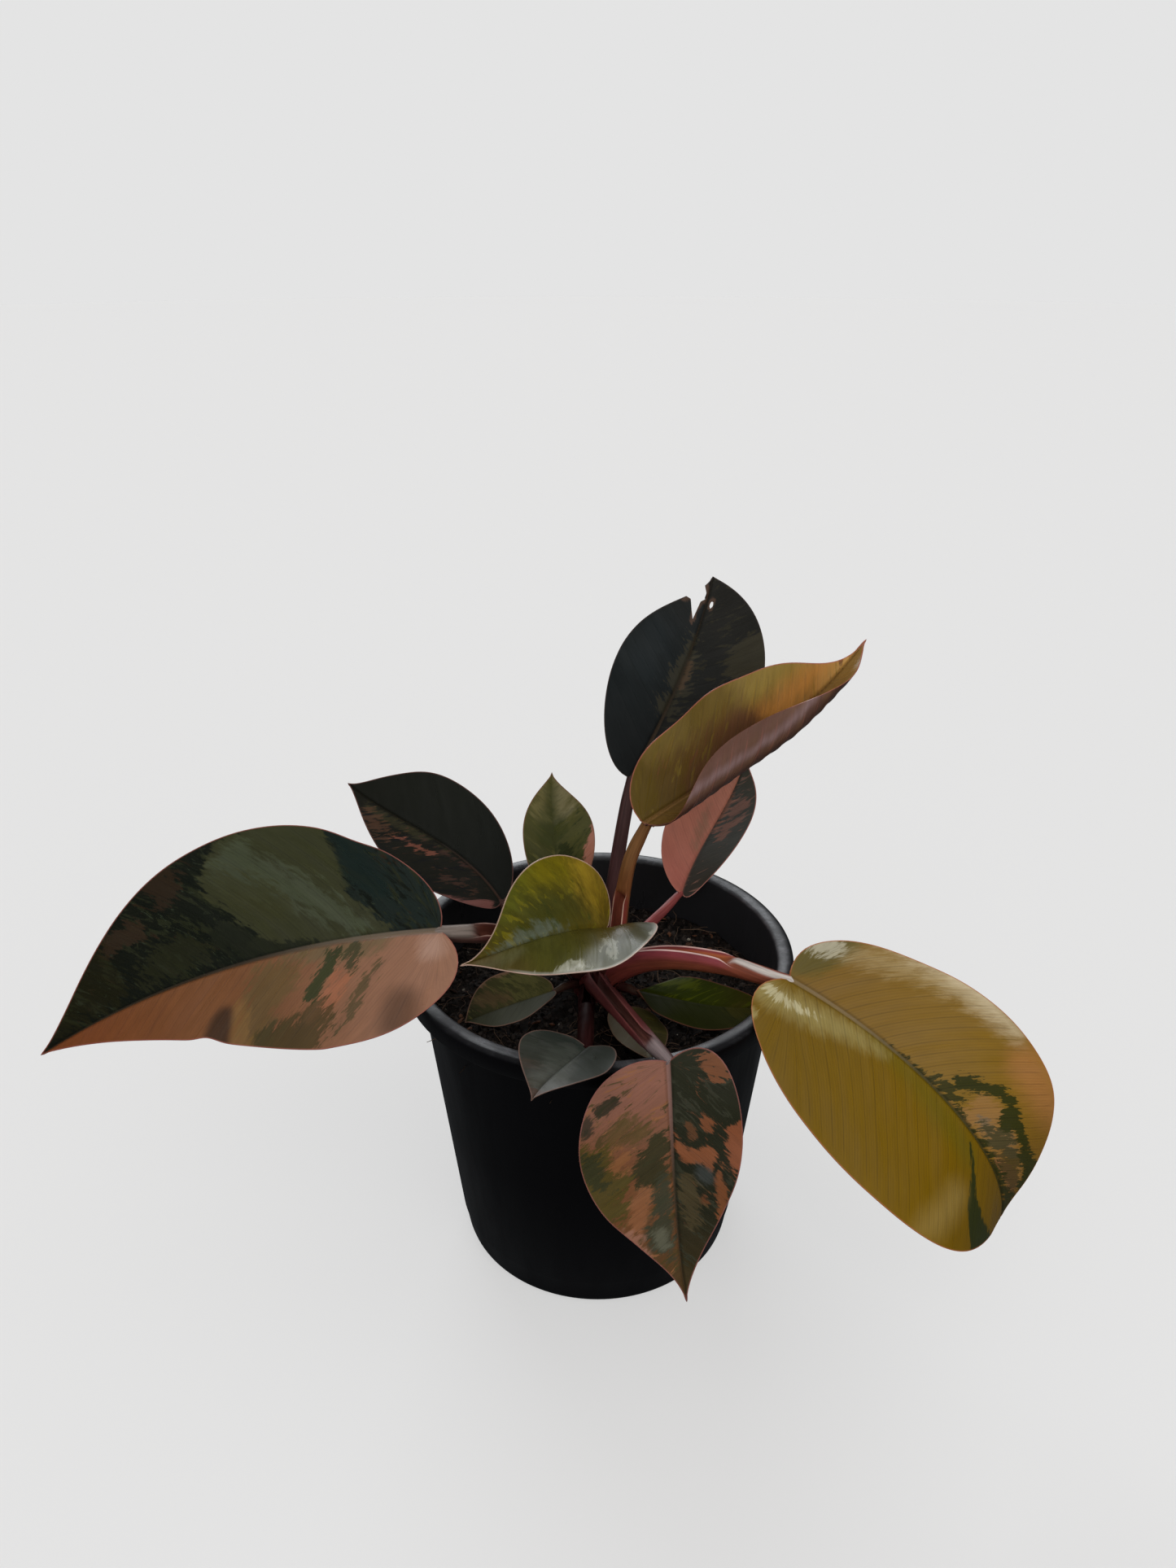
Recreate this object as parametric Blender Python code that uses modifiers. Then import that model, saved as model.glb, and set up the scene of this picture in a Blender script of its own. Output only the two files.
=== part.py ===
"""Potted variegated philodendron, one object in metres with +Z up.

The pot stands on z = 0 with its axis on the Z axis. The front, the side that the photo looks at, is -Y.
Lengths below are in millimetres and angles in degrees until MM turns them into metres.
"""

import math

import bmesh
import bpy
from mathutils import Vector

MM = 0.001

POT_HEIGHT = 122.0
POT_FOOT_RADIUS = 51.5
POT_TOP_RADIUS = 65.0
POT_WALL = 1.2
RIM_RADIUS = 70.0
RIM_DEPTH = 7.5
POT_SIDES = 48
DRAIN_HOLES = 8
DRAIN_RADIUS = 4.0
DRAIN_CIRCLE = 37.0

SOIL_LEVEL = 101.5
SOIL_SIDES = 36
STEM_RADIUS = 8.5
STEM_FOOT = 66.0

GAP = 0.3
BLADE_THICKNESS = 0.8

# Each half outline: lobe behind the stalk, fullness of the lobe, roundness behind the widest place,
# where the widest place is, fullness in front of it, length and breadth of the drawn-out tip.
# Lengths in it are fractions of the blade's length, breadths of the half's width. Left and right
# are as seen from stalk to tip with the upper face up. faces holds the azimuth and elevation
# that the upper face looks to, at the base and at the tip. Pairs are (left, right), but arch and
# sway are how far the midrib rises and swings sideways at one and two thirds of its length.
BLADES = {
    "left_large": dict(
        base=(-53.3, -20.9, 141.7), tip=(-185.8, -43.2, 106.9),
        arch=(12.8, 12.2), sway=(7.8, 8.5),
        faces=((279, 57), (285, 50)),
        width=(38.0, 46.4), fold=(13, 11), cup=(-10, -12),
        wave=(1.2, 0.8), waves=(3.0, 2.5), phase=(0.36, 0.58),
        left=(0.09, 0.38, 0.28, 0.28, 0.10, 0.14, 0.11),
        right=(0.05, 0.36, 0.23, 0.42, 0.26, 0.13, 0.11),
    ),
    "back_left": dict(
        base=(-36.2, 24.6, 125.3), tip=(-96.1, 51.8, 162.0),
        arch=(4.5, 3.4), sway=(8.5, -2.1),
        faces=((290, 42), (282, 37)),
        width=(19.0, 23.1), fold=(15, 13), cup=(-8, -9),
        wave=(0.8, 0.7), waves=(2.5, 2.5), phase=(0.10, 0.61),
        left=(0.07, 0.37, 0.26, 0.43, 0.28, 0.14, 0.11),
        right=(0.02, 0.33, 0.24, 0.49, 0.31, 0.09, 0.11),
    ),
    "upright_small": dict(
        base=(-15.5, 20.0, 131.6), tip=(-16.6, 29.3, 177.0),
        arch=(-3.4, -3.6), sway=(1.2, -1.4),
        faces=((270, 20), (271, 25)),
        width=(11.5, 15.1), fold=(9, 8), cup=(-7, -8),
        wave=(0.3, 0.3), waves=(2.0, 2.0), phase=(0.11, 0.59),
        left=(0.10, 0.43, 0.29, 0.46, 0.32, 0.12, 0.11),
        right=(0.10, 0.44, 0.29, 0.45, 0.31, 0.13, 0.11),
    ),
    "tall_torn": dict(
        base=(12.1, 24.6, 176.9), tip=(40.0, 44.1, 245.5),
        arch=(1.5, 2.6), sway=(3.0, 4.4),
        faces=((269, 25), (268, 25)),
        width=(23.9, 28.1), fold=(7, 9), cup=(-11, -10),
        wave=(0.8, 0.7), waves=(2.5, 2.5), phase=(0.08, 0.60),
        left=(0.04, 0.41, 0.28, 0.49, 0.34, 0.13, 0.11),
        right=(0.10, 0.45, 0.30, 0.50, 0.43, 0.02, 0.12),
    ),
    "centre_folded": dict(
        base=(3.2, -6.0, 132.6), tip=(-45.7, -33.9, 136.2),
        arch=(10.2, 3.3), sway=(-2.7, -1.4),
        faces=((277, 100), (277, 59)),
        width=(32.0, 26.5), fold=(13, 67), cup=(0, 0),
        wave=(1.5, 0.5), waves=(2.0, 2.0), phase=(0.18, 0.49),
        left=(0.06, 0.50, 0.31, 0.32, 0.21, 0.22, 0.09),
        right=(0.15, 0.50, 0.34, 0.42, 0.30, 0.31, 0.07),
    ),
    "high_right": dict(
        base=(15.2, -6.0, 174.4), tip=(86.9, 8.2, 234.7),
        arch=(-3.9, -2.0), sway=(2.1, 8.1),
        faces=((248, 46), (243, 49)),
        width=(24.6, 26.1), fold=(47, 11), cup=(0, 147),
        wave=(1.3, 0.8), waves=(3.0, 2.0), phase=(-0.14, 0.59),
        left=(0.03, 0.49, 0.34, 0.41, 0.45, 0.24, 0.02),
        right=(-0.06, 0.25, 0.25, 0.45, 0.32, 0.10, 0.11),
    ),
    "back_right": dict(
        base=(33.0, 37.3, 121.2), tip=(57.1, 52.6, 174.3),
        arch=(-3.6, 2.6), sway=(-2.1, 3.6),
        faces=((288, 29), (283, 31)),
        width=(18.7, 11.6), fold=(12, 13), cup=(0, 0),
        wave=(0.4, 0.2), waves=(2.0, 2.0), phase=(0.07, 0.64),
        left=(0.00, 0.31, 0.22, 0.42, 0.27, 0.16, 0.10),
        right=(0.10, 0.41, 0.27, 0.54, 0.32, 0.14, 0.11),
    ),
    "right_large": dict(
        base=(64.1, -29.4, 127.9), tip=(140.4, -51.6, 42.3),
        arch=(18.5, 43.9), sway=(-7.5, 2.4),
        faces=((290, 53), (298, 28)),
        width=(38.0, 46.9), fold=(16, 18), cup=(-22, -14),
        wave=(0.8, 0.6), waves=(2.5, 2.5), phase=(0.24, 0.69),
        left=(0.08, 0.57, 0.29, 0.57, 0.30, 0.14, 0.10),
        right=(0.18, 0.32, 0.33, 0.38, 0.46, 0.12, 0.12),
    ),
    "front": dict(
        base=(20.8, -71.9, 127.3), tip=(28.3, -88.3, 43.7),
        arch=(5.4, -1.2), sway=(0.6, 2.3),
        faces=((268, 30), (266, 15)),
        width=(21.9, 29.0), fold=(6, 8), cup=(-14, -17),
        wave=(0.8, 1.0), waves=(2.5, 2.5), phase=(-0.02, 0.64),
        left=(0.11, 0.47, 0.34, 0.30, 0.26, 0.18, 0.10),
        right=(0.05, 0.43, 0.29, 0.36, 0.30, 0.24, 0.09),
    ),
    "front_small": dict(
        base=(-4.1, -59.4, 123.0), tip=(-20.4, -84.5, 123.0),
        arch=(1.5, 1.8), sway=(-0.8, 1.4),
        faces=((263, 78), (248, 66)),
        width=(15.3, 16.3), fold=(23, 13), cup=(-5, -7),
        wave=(0.2, 0.0), waves=(2.0, 2.0), phase=(0.11, 0.60),
        left=(0.13, 0.47, 0.32, 0.37, 0.26, 0.18, 0.10),
        right=(0.11, 0.48, 0.32, 0.40, 0.29, 0.18, 0.10),
    ),
    "left_small": dict(
        base=(-15.7, -14.4, 112.5), tip=(-46.6, -22.3, 104.5),
        arch=(0.5, 0.8), sway=(-0.0, 0.4),
        faces=((275, 85), (272, 53)),
        width=(10.9, 12.5), fold=(21, 14), cup=(2, -4),
        wave=(0.4, 0.2), waves=(2.0, 2.0), phase=(0.04, 0.61),
        left=(0.09, 0.41, 0.28, 0.42, 0.29, 0.13, 0.11),
        right=(0.08, 0.43, 0.29, 0.47, 0.34, 0.05, 0.12),
    ),
    "right_small": dict(
        base=(13.4, -12.2, 111.3), tip=(56.9, -24.8, 112.9),
        arch=(1.9, 0.9), sway=(2.4, 4.5),
        faces=((278, 76), (281, 57)),
        width=(10.6, 11.9), fold=(3, 14), cup=(-11, -1),
        wave=(0.2, 0.6), waves=(2.0, 2.0), phase=(0.17, 0.58),
        left=(-0.12, 0.07, 0.27, 0.39, 0.27, 0.00, 0.51),
        right=(-0.09, 0.10, 0.28, 0.44, 0.29, 0.03, 0.50),
    ),
    "front_low": dict(
        base=(10.0, -19.8, 109.2), tip=(18.9, -47.4, 107.6),
        arch=(0.6, -0.7), sway=(1.4, 0.6),
        faces=((304, 67), (298, 65)),
        width=(10.8, 9.3), fold=(3, 7), cup=(-11, -6),
        wave=(0.3, 0.3), waves=(2.0, 2.0), phase=(0.13, 0.58),
        left=(0.09, 0.44, 0.29, 0.41, 0.30, 0.10, 0.20),
        right=(0.10, 0.45, 0.30, 0.40, 0.29, 0.10, 0.20),
    ),
}

# Midrib depth at the base, cells along the blade, cells round the lobe, stops across each half.
# crowd over 1 sets the cells closer together toward the base.
FINE = dict(rib=2.4, along=13, fan=5, stops=(0.5, 0.78, 1.0))
ROLLED = dict(rib=2.2, along=14, fan=4, crowd=1.35, stops=(0.25, 0.5, 0.75, 1.0))
MEDIUM = dict(rib=2.0, along=11, fan=4, stops=(0.6, 1.0))
COARSE = dict(rib=1.5, along=8, fan=3, stops=(0.6, 1.0))
DETAIL = {
    "left_large": FINE,
    "back_left": MEDIUM,
    "upright_small": COARSE,
    "tall_torn": FINE,
    "centre_folded": MEDIUM,
    "high_right": ROLLED,
    "back_right": MEDIUM,
    "right_large": FINE,
    "front": FINE,
    "front_small": COARSE,
    "left_small": COARSE,
    "right_small": COARSE,
    "front_low": COARSE,
}

# The stalks in the order in which they wrap round each other, inner ones first. A stalk runs from
# start by way of the two pull points to its blade's base. radius is at both ends, sheath the part
# of the length that is an open channel, wing how far the channel's sides stand out.
STALKS = {
    "tall_torn": dict(
        start=(2.0, 5.5, 108.0), pulls=((4.5, 14.0, 130.0), (8.0, 20.0, 155.0)),
        radius=(3.0, 2.3), sheath=0.0, wing=0.0, opens="face"),
    "high_right": dict(
        start=(4.5, 1.5, 108.0), pulls=((9.5, 4.5, 130.0), (7.0, 3.5, 150.0)),
        radius=(3.2, 2.2), sheath=0.45, wing=0.25, opens="face"),
    "centre_folded": dict(
        start=(0.0, -3.0, 108.0), pulls=((1.5, -7.0, 119.0), (5.0, -8.0, 128.0)),
        radius=(2.2, 1.6), sheath=0.0, wing=0.0, opens="face"),
    "upright_small": dict(
        start=(-3.0, 4.5, 108.0), pulls=((-6.0, 11.0, 117.0), (-14.0, 17.0, 122.0)),
        radius=(2.2, 1.6), sheath=0.0, wing=0.0, opens="face"),
    "left_large": dict(
        start=(-3.5, -1.0, 109.0), pulls=((-14.0, -5.0, 125.0), (-33.0, -13.0, 136.0)),
        radius=(4.0, 3.1), sheath=0.6, wing=0.2, opens="up"),
    "right_large": dict(
        start=(4.5, -2.5, 110.0), pulls=((18.0, -7.0, 128.0), (42.0, -21.0, 128.0)),
        radius=(4.6, 3.0), sheath=0.62, wing=0.25, opens="up"),
    "front": dict(
        start=(-1.0, -4.5, 109.0), pulls=((-3.0, -18.0, 119.0), (9.0, -48.0, 127.0)),
        radius=(4.0, 2.5), sheath=0.78, wing=0.3, opens="up"),
    "back_left": dict(
        start=(-4.0, 3.0, 106.0), pulls=((-12.0, 9.0, 114.0), (-26.0, 18.0, 118.0)),
        radius=(2.8, 2.1), sheath=0.0, wing=0.0, opens="up"),
    "back_right": dict(
        start=(4.5, 4.5, 107.0), pulls=((14.0, 16.0, 116.0), (22.0, 25.0, 117.0)),
        radius=(2.5, 1.6), sheath=0.0, wing=0.0, opens="up"),
    "front_small": dict(
        start=(-3.0, -5.0, 107.5), pulls=((-4.5, -20.0, 112.5), (-4.0, -44.0, 119.0)),
        radius=(3.0, 2.6), sheath=0.55, wing=0.25, opens="up"),
    "left_small": dict(
        start=(-5.0, -3.0, 107.5), pulls=((-8.0, -7.0, 110.0), (-11.0, -11.0, 112.5)),
        radius=(1.8, 1.2), sheath=0.0, wing=0.0, opens="up"),
    "right_small": dict(
        start=(5.0, -3.0, 107.5), pulls=((8.0, -8.0, 109.5), (10.5, -10.5, 110.5)),
        radius=(2.0, 1.5), sheath=0.0, wing=0.0, opens="up"),
    "front_low": dict(
        start=(3.5, -5.5, 106.8), pulls=((6.0, -10.0, 108.5), (8.5, -15.0, 109.5)),
        radius=(1.8, 1.2), sheath=0.0, wing=0.0, opens="up"),
}

# The torn end of the tall blade, as (along, across) in the blade's own measure, across being
# negative on the left half, and the small hole beside it.
TEAR = (
    (1.10, -0.75), (0.90, -0.42), (0.885, -0.31), (0.878, -0.235), (0.830, -0.18), (0.790, -0.125),
    (0.838, -0.105), (0.878, -0.085), (0.900, 0.00), (0.930, -0.05), (0.958, -0.09), (1.10, -0.20),
)
TEAR_HOLE = (
    (0.858, 0.055), (0.873, 0.045), (0.892, 0.06), (0.893, 0.085), (0.875, 0.09), (0.858, 0.08),
)


def clear_scene():
    for obj in list(bpy.data.objects):
        bpy.data.objects.remove(obj, do_unlink=True)


def new_collection(name, hidden=False):
    made = bpy.data.collections.new(name)
    made.hide_render = hidden
    bpy.context.scene.collection.children.link(made)
    return made


def plain_material(name, colour, roughness):
    made = bpy.data.materials.new(name)
    made.use_nodes = True
    shader = made.node_tree.nodes["Principled BSDF"]
    shader.inputs["Base Color"].default_value = (*colour, 1.0)
    shader.inputs["Roughness"].default_value = roughness
    made.diffuse_color = (*colour, 1.0)
    return made


def new_object(name, bm, collection, material=None):
    mesh = bpy.data.meshes.new(name)
    bm.to_mesh(mesh)
    bm.free()
    obj = bpy.data.objects.new(name, mesh)
    collection.objects.link(obj)
    if material:
        mesh.materials.append(material)
    else:
        obj.hide_render = True
        obj.display_type = "WIRE"
    return obj


def subtract(obj, cutter):
    cut = obj.modifiers.new("cut " + cutter.name, "BOOLEAN")
    cut.operation = "DIFFERENCE"
    cut.solver = "MANIFOLD"
    cut.object = cutter


def revolved(name, profile, sides, collection, material=None):
    """A body turned round Z from (radius, height) points in mm that start and end on the axis."""
    bm = bmesh.new()
    points = [bm.verts.new((r * MM, 0.0, z * MM)) for r, z in profile]
    for one, other in zip(points, points[1:]):
        bm.edges.new((one, other))
    obj = new_object(name, bm, collection, material)
    turn = obj.modifiers.new("turn", "SCREW")
    turn.steps = turn.render_steps = sides
    turn.use_merge_vertices = True
    turn.merge_threshold = 0.00005
    turn.use_normal_calculate = True
    return obj


def pot_profile():
    """The pot's half section, from the middle of the underside round to the middle of the floor."""
    def wall(z, inset=0.0):
        return POT_FOOT_RADIUS + (POT_TOP_RADIUS - POT_FOOT_RADIUS) * z / POT_HEIGHT - inset

    top, skirt = POT_HEIGHT, POT_HEIGHT - RIM_DEPTH
    return [
        (0.0, 0.0), (47.0, 0.0), (POT_FOOT_RADIUS - 1.6, 0.8), (POT_FOOT_RADIUS, 3.0),
        (wall(60.0), 60.0), (wall(skirt - 1.0), skirt - 1.0), (wall(top - 1.4), top - 1.4),
        (RIM_RADIUS - 1.3, top - 1.4), (RIM_RADIUS - 1.2, skirt), (RIM_RADIUS - 0.3, skirt),
        (RIM_RADIUS, top - 1.2), (RIM_RADIUS - 0.5, top - 0.3), (RIM_RADIUS - 1.2, top),
        (wall(top, 0.6), top), (wall(top, POT_WALL), top - 0.6),
        (wall(60.0, POT_WALL), 60.0), (wall(4.0, POT_WALL), 4.0), (46.5, 2.2), (0.0, 2.2),
    ]


def drain_cutter(collection):
    bm = bmesh.new()
    for i in range(DRAIN_HOLES):
        turn = 2 * math.pi * (i + 0.5) / DRAIN_HOLES
        radius = DRAIN_RADIUS * MM
        ring = bmesh.ops.create_cone(
            bm, cap_ends=True, segments=12, radius1=radius, radius2=radius, depth=8 * MM)
        middle = Vector((math.cos(turn), math.sin(turn), 0.0)) * DRAIN_CIRCLE * MM
        bmesh.ops.translate(bm, verts=ring["verts"], vec=middle + Vector((0, 0, 1.1 * MM)))
    return new_object("cutter_drain_holes", bm, collection)


def make_pot(parts, cutters):
    black = plain_material("black plastic", (0.012, 0.013, 0.015), 0.35)
    pot = revolved("pot", pot_profile(), POT_SIDES, parts, black)
    subtract(pot, drain_cutter(cutters))
    return pot


def soil_height(x, y):
    """Height of the soil's surface in mm: a low mound at the stem with lumps on it."""
    r = math.hypot(x, y)
    mound = 1.6 * math.exp(-((r / 24.0) ** 2))
    lumps = 0.7 * math.sin(0.31 * x + 1.3) * math.sin(0.27 * y + 0.4)
    lumps += 0.45 * math.sin(0.63 * x - 0.41 * y) + 0.3 * math.sin(0.22 * x + 0.71 * y + 2.0)
    return SOIL_LEVEL + mound + lumps * min(1.0, max(0.0, (r - 9.0) / 8.0))


def make_soil(parts):
    """A filled body under a lumpy surface, with a blind hole in the middle for the stem."""
    hole = STEM_RADIUS + GAP
    outer_at_100 = POT_FOOT_RADIUS + (POT_TOP_RADIUS - POT_FOOT_RADIUS) * 100.0 / POT_HEIGHT
    wall_top = outer_at_100 - POT_WALL - GAP
    foot = POT_FOOT_RADIUS - POT_WALL - GAP
    rings = [(hole, STEM_FOOT - GAP), (hole, None)]
    rings += [(r, None) for r in (14.0, 22.0, 31.0, 40.0, 49.0, 56.5, wall_top)]
    rings += [(foot + 0.4, 4.6), (46.0, 2.5)]
    bm = bmesh.new()
    rows = []
    for radius, height in rings:
        row = []
        for i in range(SOIL_SIDES):
            turn = 2 * math.pi * i / SOIL_SIDES
            x, y = radius * math.cos(turn), radius * math.sin(turn)
            z = soil_height(x, y) if height is None else height
            row.append(bm.verts.new((x * MM, y * MM, z * MM)))
        rows.append(row)
    hole_end = bm.verts.new((0, 0, (STEM_FOOT - GAP) * MM))
    middle = bm.verts.new((0, 0, 2.5 * MM))
    for one, other in zip(rows, rows[1:]):
        for i in range(SOIL_SIDES):
            j = (i + 1) % SOIL_SIDES
            bm.faces.new((one[i], other[i], other[j], one[j]))
    for i in range(SOIL_SIDES):
        j = (i + 1) % SOIL_SIDES
        bm.faces.new((hole_end, rows[0][i], rows[0][j]))
        bm.faces.new((middle, rows[-1][j], rows[-1][i]))
    bmesh.ops.recalc_face_normals(bm, faces=bm.faces)
    return new_object("soil", bm, parts, plain_material("potting soil", (0.022, 0.017, 0.014), 0.95))


def stem_profile(grow=0.0):
    """The short stem's half section, knobbly above the soil where old stalks came off."""
    r = STEM_RADIUS - 0.1
    section = [
        (0.0, STEM_FOOT), (r - 2.0, STEM_FOOT), (r, STEM_FOOT + 3.0), (r, 102.0), (r + 0.6, 105.5),
        (r - 0.4, 108.0), (r + 0.2, 111.0), (r - 2.0, 115.0), (r - 5.0, 118.5), (0.0, 119.5),
    ]
    return [(radius + grow if radius else 0.0, z + (grow if z > 110.0 else 0.0)) for radius, z in section]


def bezier(points, t):
    s = 1.0 - t
    a, b, c, d = points
    return a * (s * s * s) + b * (3 * s * s * t) + c * (3 * s * t * t) + d * (t * t * t)


def bezier_slope(points, t):
    s = 1.0 - t
    a, b, c, d = points
    return (b - a) * (3 * s * s) + (c - b) * (6 * s * t) + (d - c) * (3 * t * t)


def heading(azimuth, elevation):
    a, e = math.radians(azimuth), math.radians(elevation)
    return Vector((math.cos(a) * math.cos(e), math.sin(a) * math.cos(e), math.sin(e)))


def midrib(blade):
    """Four pull points of the midrib: a chord lifted by arch and swung by sway."""
    base, tip = Vector(blade["base"]), Vector(blade["tip"])
    chord = tip - base
    line = chord.normalized()
    up = heading(*blade["faces"][0]) + heading(*blade["faces"][1])
    up = (up - line * up.dot(line)).normalized()
    side = line.cross(up)
    near = base + chord / 3 + up * blade["arch"][0] + side * blade["sway"][0]
    far = base + chord * 2 / 3 + up * blade["arch"][1] + side * blade["sway"][1]
    return base, near, far, tip


def blade_frame(blade, along):
    """Point, direction, upper-face normal and right-hand side on the midrib; lobes run straight behind."""
    curve = midrib(blade)
    t = min(1.0, max(0.0, along))
    slope = bezier_slope(curve, t)
    point = bezier(curve, t) + slope * (along - t)
    forward = slope.normalized()
    up = heading(*blade["faces"][0]) * (1 - t) + heading(*blade["faces"][1]) * t
    up = (up - forward * up.dot(forward)).normalized()
    return point, forward, up, forward.cross(up)


def blade_point(blade, along, across, side):
    """A place on the upper face in mm; across runs from 0 at the midrib to 1 at the widest margin."""
    point, _, up, right = blade_frame(blade, along)
    width = blade["width"][side]
    fold = math.radians(blade["fold"][side])
    cup = math.radians(blade["cup"][side]) or 1e-3
    out = width * (math.sin(fold + cup * across) - math.sin(fold)) / cup
    rise = -width * (math.cos(fold + cup * across) - math.cos(fold)) / cup
    turns = blade["waves"][side] * along + blade["phase"][side]
    rise += blade["wave"][side] * math.sin(2 * math.pi * turns) * across ** 2
    return point + right * (out if side else -out) + up * rise


def half_outline(shape, samples=160):
    """(along, across) of one margin from base to tip."""
    lobe, shoulder, back, widest, front, taper, drip = shape
    first = [Vector(p) for p in ((0, 0), (-lobe, shoulder), (widest - back, 1), (widest, 1))]
    second = [Vector(p) for p in ((widest, 1), (widest + front, 1), (1 - taper, drip), (1, 0))]
    found = [bezier(first, i / samples) for i in range(samples)]
    return found + [bezier(second, i / samples) for i in range(samples + 1)]


def outline_stops(shape, detail, sweep=0.12):
    """Pairs of a midrib station and the margin point that its side vein runs to."""
    outline = half_outline(shape)
    roots = [p.x - sweep * p.y for p in outline]
    last = max(i for i, root in enumerate(roots) if root <= 0.0)
    stops = []
    for k in range(detail["fan"] + 1):
        stops.append((0.0, outline[round(last * (k + 1) / (detail["fan"] + 1))]))
    i = last
    for k in range(1, detail["along"]):
        station = (k / detail["along"]) ** detail.get("crowd", 0.93)
        while roots[i + 1] < station:
            i += 1
        part = (station - roots[i]) / (roots[i + 1] - roots[i])
        stops.append((station, outline[i].lerp(outline[i + 1], max(0.0, part))))
    stops.append((1.0, outline[-1]))
    return stops


def make_blade(name, parts, material):
    """Both halves as one net of triangles from the midrib out, thickened downward, most at the midrib."""
    blade, detail = BLADES[name], DETAIL[name]
    thin = BLADE_THICKNESS / detail["rib"]
    bm = bmesh.new()
    weights = bm.verts.layers.deform.verify()
    for side, shape in ((0, blade["left"]), (1, blade["right"])):
        rows = []
        width = blade["width"][side]
        for root, margin in outline_stops(shape, detail):
            row = []
            rib_half = detail["rib"] * (0.8 - 0.55 * root)
            rib_edge = min(0.5, rib_half / (width * max(margin.y, 0.01)))
            for stop in (0.0, rib_edge, *(rib_edge + (1 - rib_edge) * s for s in detail["stops"])):
                along = root + (margin.x - root) * stop
                place = blade_point(blade, along, margin.y * stop, side)
                vert = bm.verts.new(place * MM)
                vert[weights][0] = thin + (1 - thin) * (1 - root) if stop == 0.0 else thin
                row.append(vert)
            rows.append(row)
        for one, other in zip(rows, rows[1:]):
            for j in range(len(detail["stops"]) + 1):
                corners = (one[j], other[j], other[j + 1], one[j + 1])
                bm.faces.new(corners if side == 0 else corners[::-1])
    bmesh.ops.remove_doubles(bm, verts=bm.verts, dist=0.02 * MM)
    bmesh.ops.triangulate(bm, faces=bm.faces)
    obj = new_object("blade_" + name, bm, parts, material)
    obj.vertex_groups.new(name="rib")
    thick = obj.modifiers.new("thickness", "SOLIDIFY")
    thick.thickness = detail["rib"] * MM
    thick.offset = -1.0
    thick.vertex_group = "rib"
    return obj


def stalk_section(radius, wing, channel, filled):
    """Twelve (side, up) points round a stalk: a circle, or a channel, open at the top unless filled."""
    section = []
    for k in range(12):
        turn = math.radians(30 * k)
        section.append([radius * math.sin(turn), -radius * math.cos(turn)])
    if channel:
        rim = 0.75 + wing
        upper = {4: (1.0 + wing, rim), 5: (0.62, 0.15), 6: (0.0, -0.25)}
        if filled:
            upper.update({5: (0.6, rim + 0.05), 6: (0.0, rim + 0.1)})
        for k, (side, up) in upper.items():
            section[k] = [side * radius, up * radius]
            section[12 - k] = [-side * radius, up * radius]
    return section


def make_stalk(name, collection, material=None, grow=0.0):
    """A stalk as stacked sections along its curve. With grow it is a filled, fatter cutter."""
    stalk, blade = STALKS[name], BLADES[name]
    _, forward, up_end, _ = blade_frame(blade, 0.0)
    end = Vector(blade["base"]) + forward * (0.4 + grow)
    curve = (Vector(stalk["start"]), *(Vector(p) for p in stalk["pulls"]), end)
    sheath = stalk["sheath"]
    stops = [i / 10 for i in range(11)]
    if sheath:
        kept = {t for t in stops if abs(t - sheath) > 0.03}
        stops = sorted(kept | {sheath - 0.025, sheath + 0.025})
    bm = bmesh.new()
    rows = []
    for t in stops:
        forward = bezier_slope(curve, t).normalized()
        up = up_end if stalk["opens"] == "face" else Vector((0, 0, 1)) * (1 - t) + up_end * t
        up = (up - forward * up.dot(forward)).normalized()
        side = forward.cross(up)
        radius = stalk["radius"][0] * (1 - t) + stalk["radius"][1] * t + grow
        if t == 1.0:
            radius *= 0.8
        place = bezier(curve, t)
        section = stalk_section(radius, stalk["wing"], t < sheath, bool(grow))
        rows.append([bm.verts.new((place + side * s + up * u) * MM) for s, u in section])
    for one, other in zip(rows, rows[1:]):
        for k in range(12):
            j = (k + 1) % 12
            bm.faces.new((one[k], one[j], other[j], other[k]))
    bm.faces.new(rows[0][::-1])
    bm.faces.new(rows[-1])
    bmesh.ops.recalc_face_normals(bm, faces=bm.faces)
    return new_object(("cutter_stalk_" if grow else "petiole_") + name, bm, collection, material)


def tear_cutter(collection):
    """Two prisms through the tall blade's end: the torn notch and the small hole."""
    blade = BLADES["tall_torn"]
    _, _, up, _ = blade_frame(blade, 0.9)
    bm = bmesh.new()
    for outline in (TEAR, TEAR_HOLE):
        for lift in (-4.0, 4.0):
            ring = []
            for along, across in outline:
                place = blade_point(blade, along, abs(across), 0 if across < 0 else 1)
                ring.append(bm.verts.new((place + up * lift) * MM))
            if lift < 0:
                below = ring
        bm.faces.new(below[::-1])
        bm.faces.new(ring)
        for i in range(len(ring)):
            j = (i + 1) % len(ring)
            bm.faces.new((below[i], below[j], ring[j], ring[i]))
    bmesh.ops.recalc_face_normals(bm, faces=bm.faces)
    return new_object("cutter_tear", bm, collection)


def close_by(one, other):
    """Whether two stalks come near enough to touch."""
    a, b = STALKS[one], STALKS[other]
    lines = []
    for name, stalk in ((one, a), (other, b)):
        pulls = (Vector(p) for p in stalk["pulls"])
        curve = (Vector(stalk["start"]), *pulls, Vector(BLADES[name]["base"]))
        lines.append([bezier(curve, i / 20) for i in range(21)])
    reach = 1.5 * (a["radius"][0] + b["radius"][0]) + 1.0
    return min((p - q).length for p in lines[0] for q in lines[1]) < reach


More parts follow.
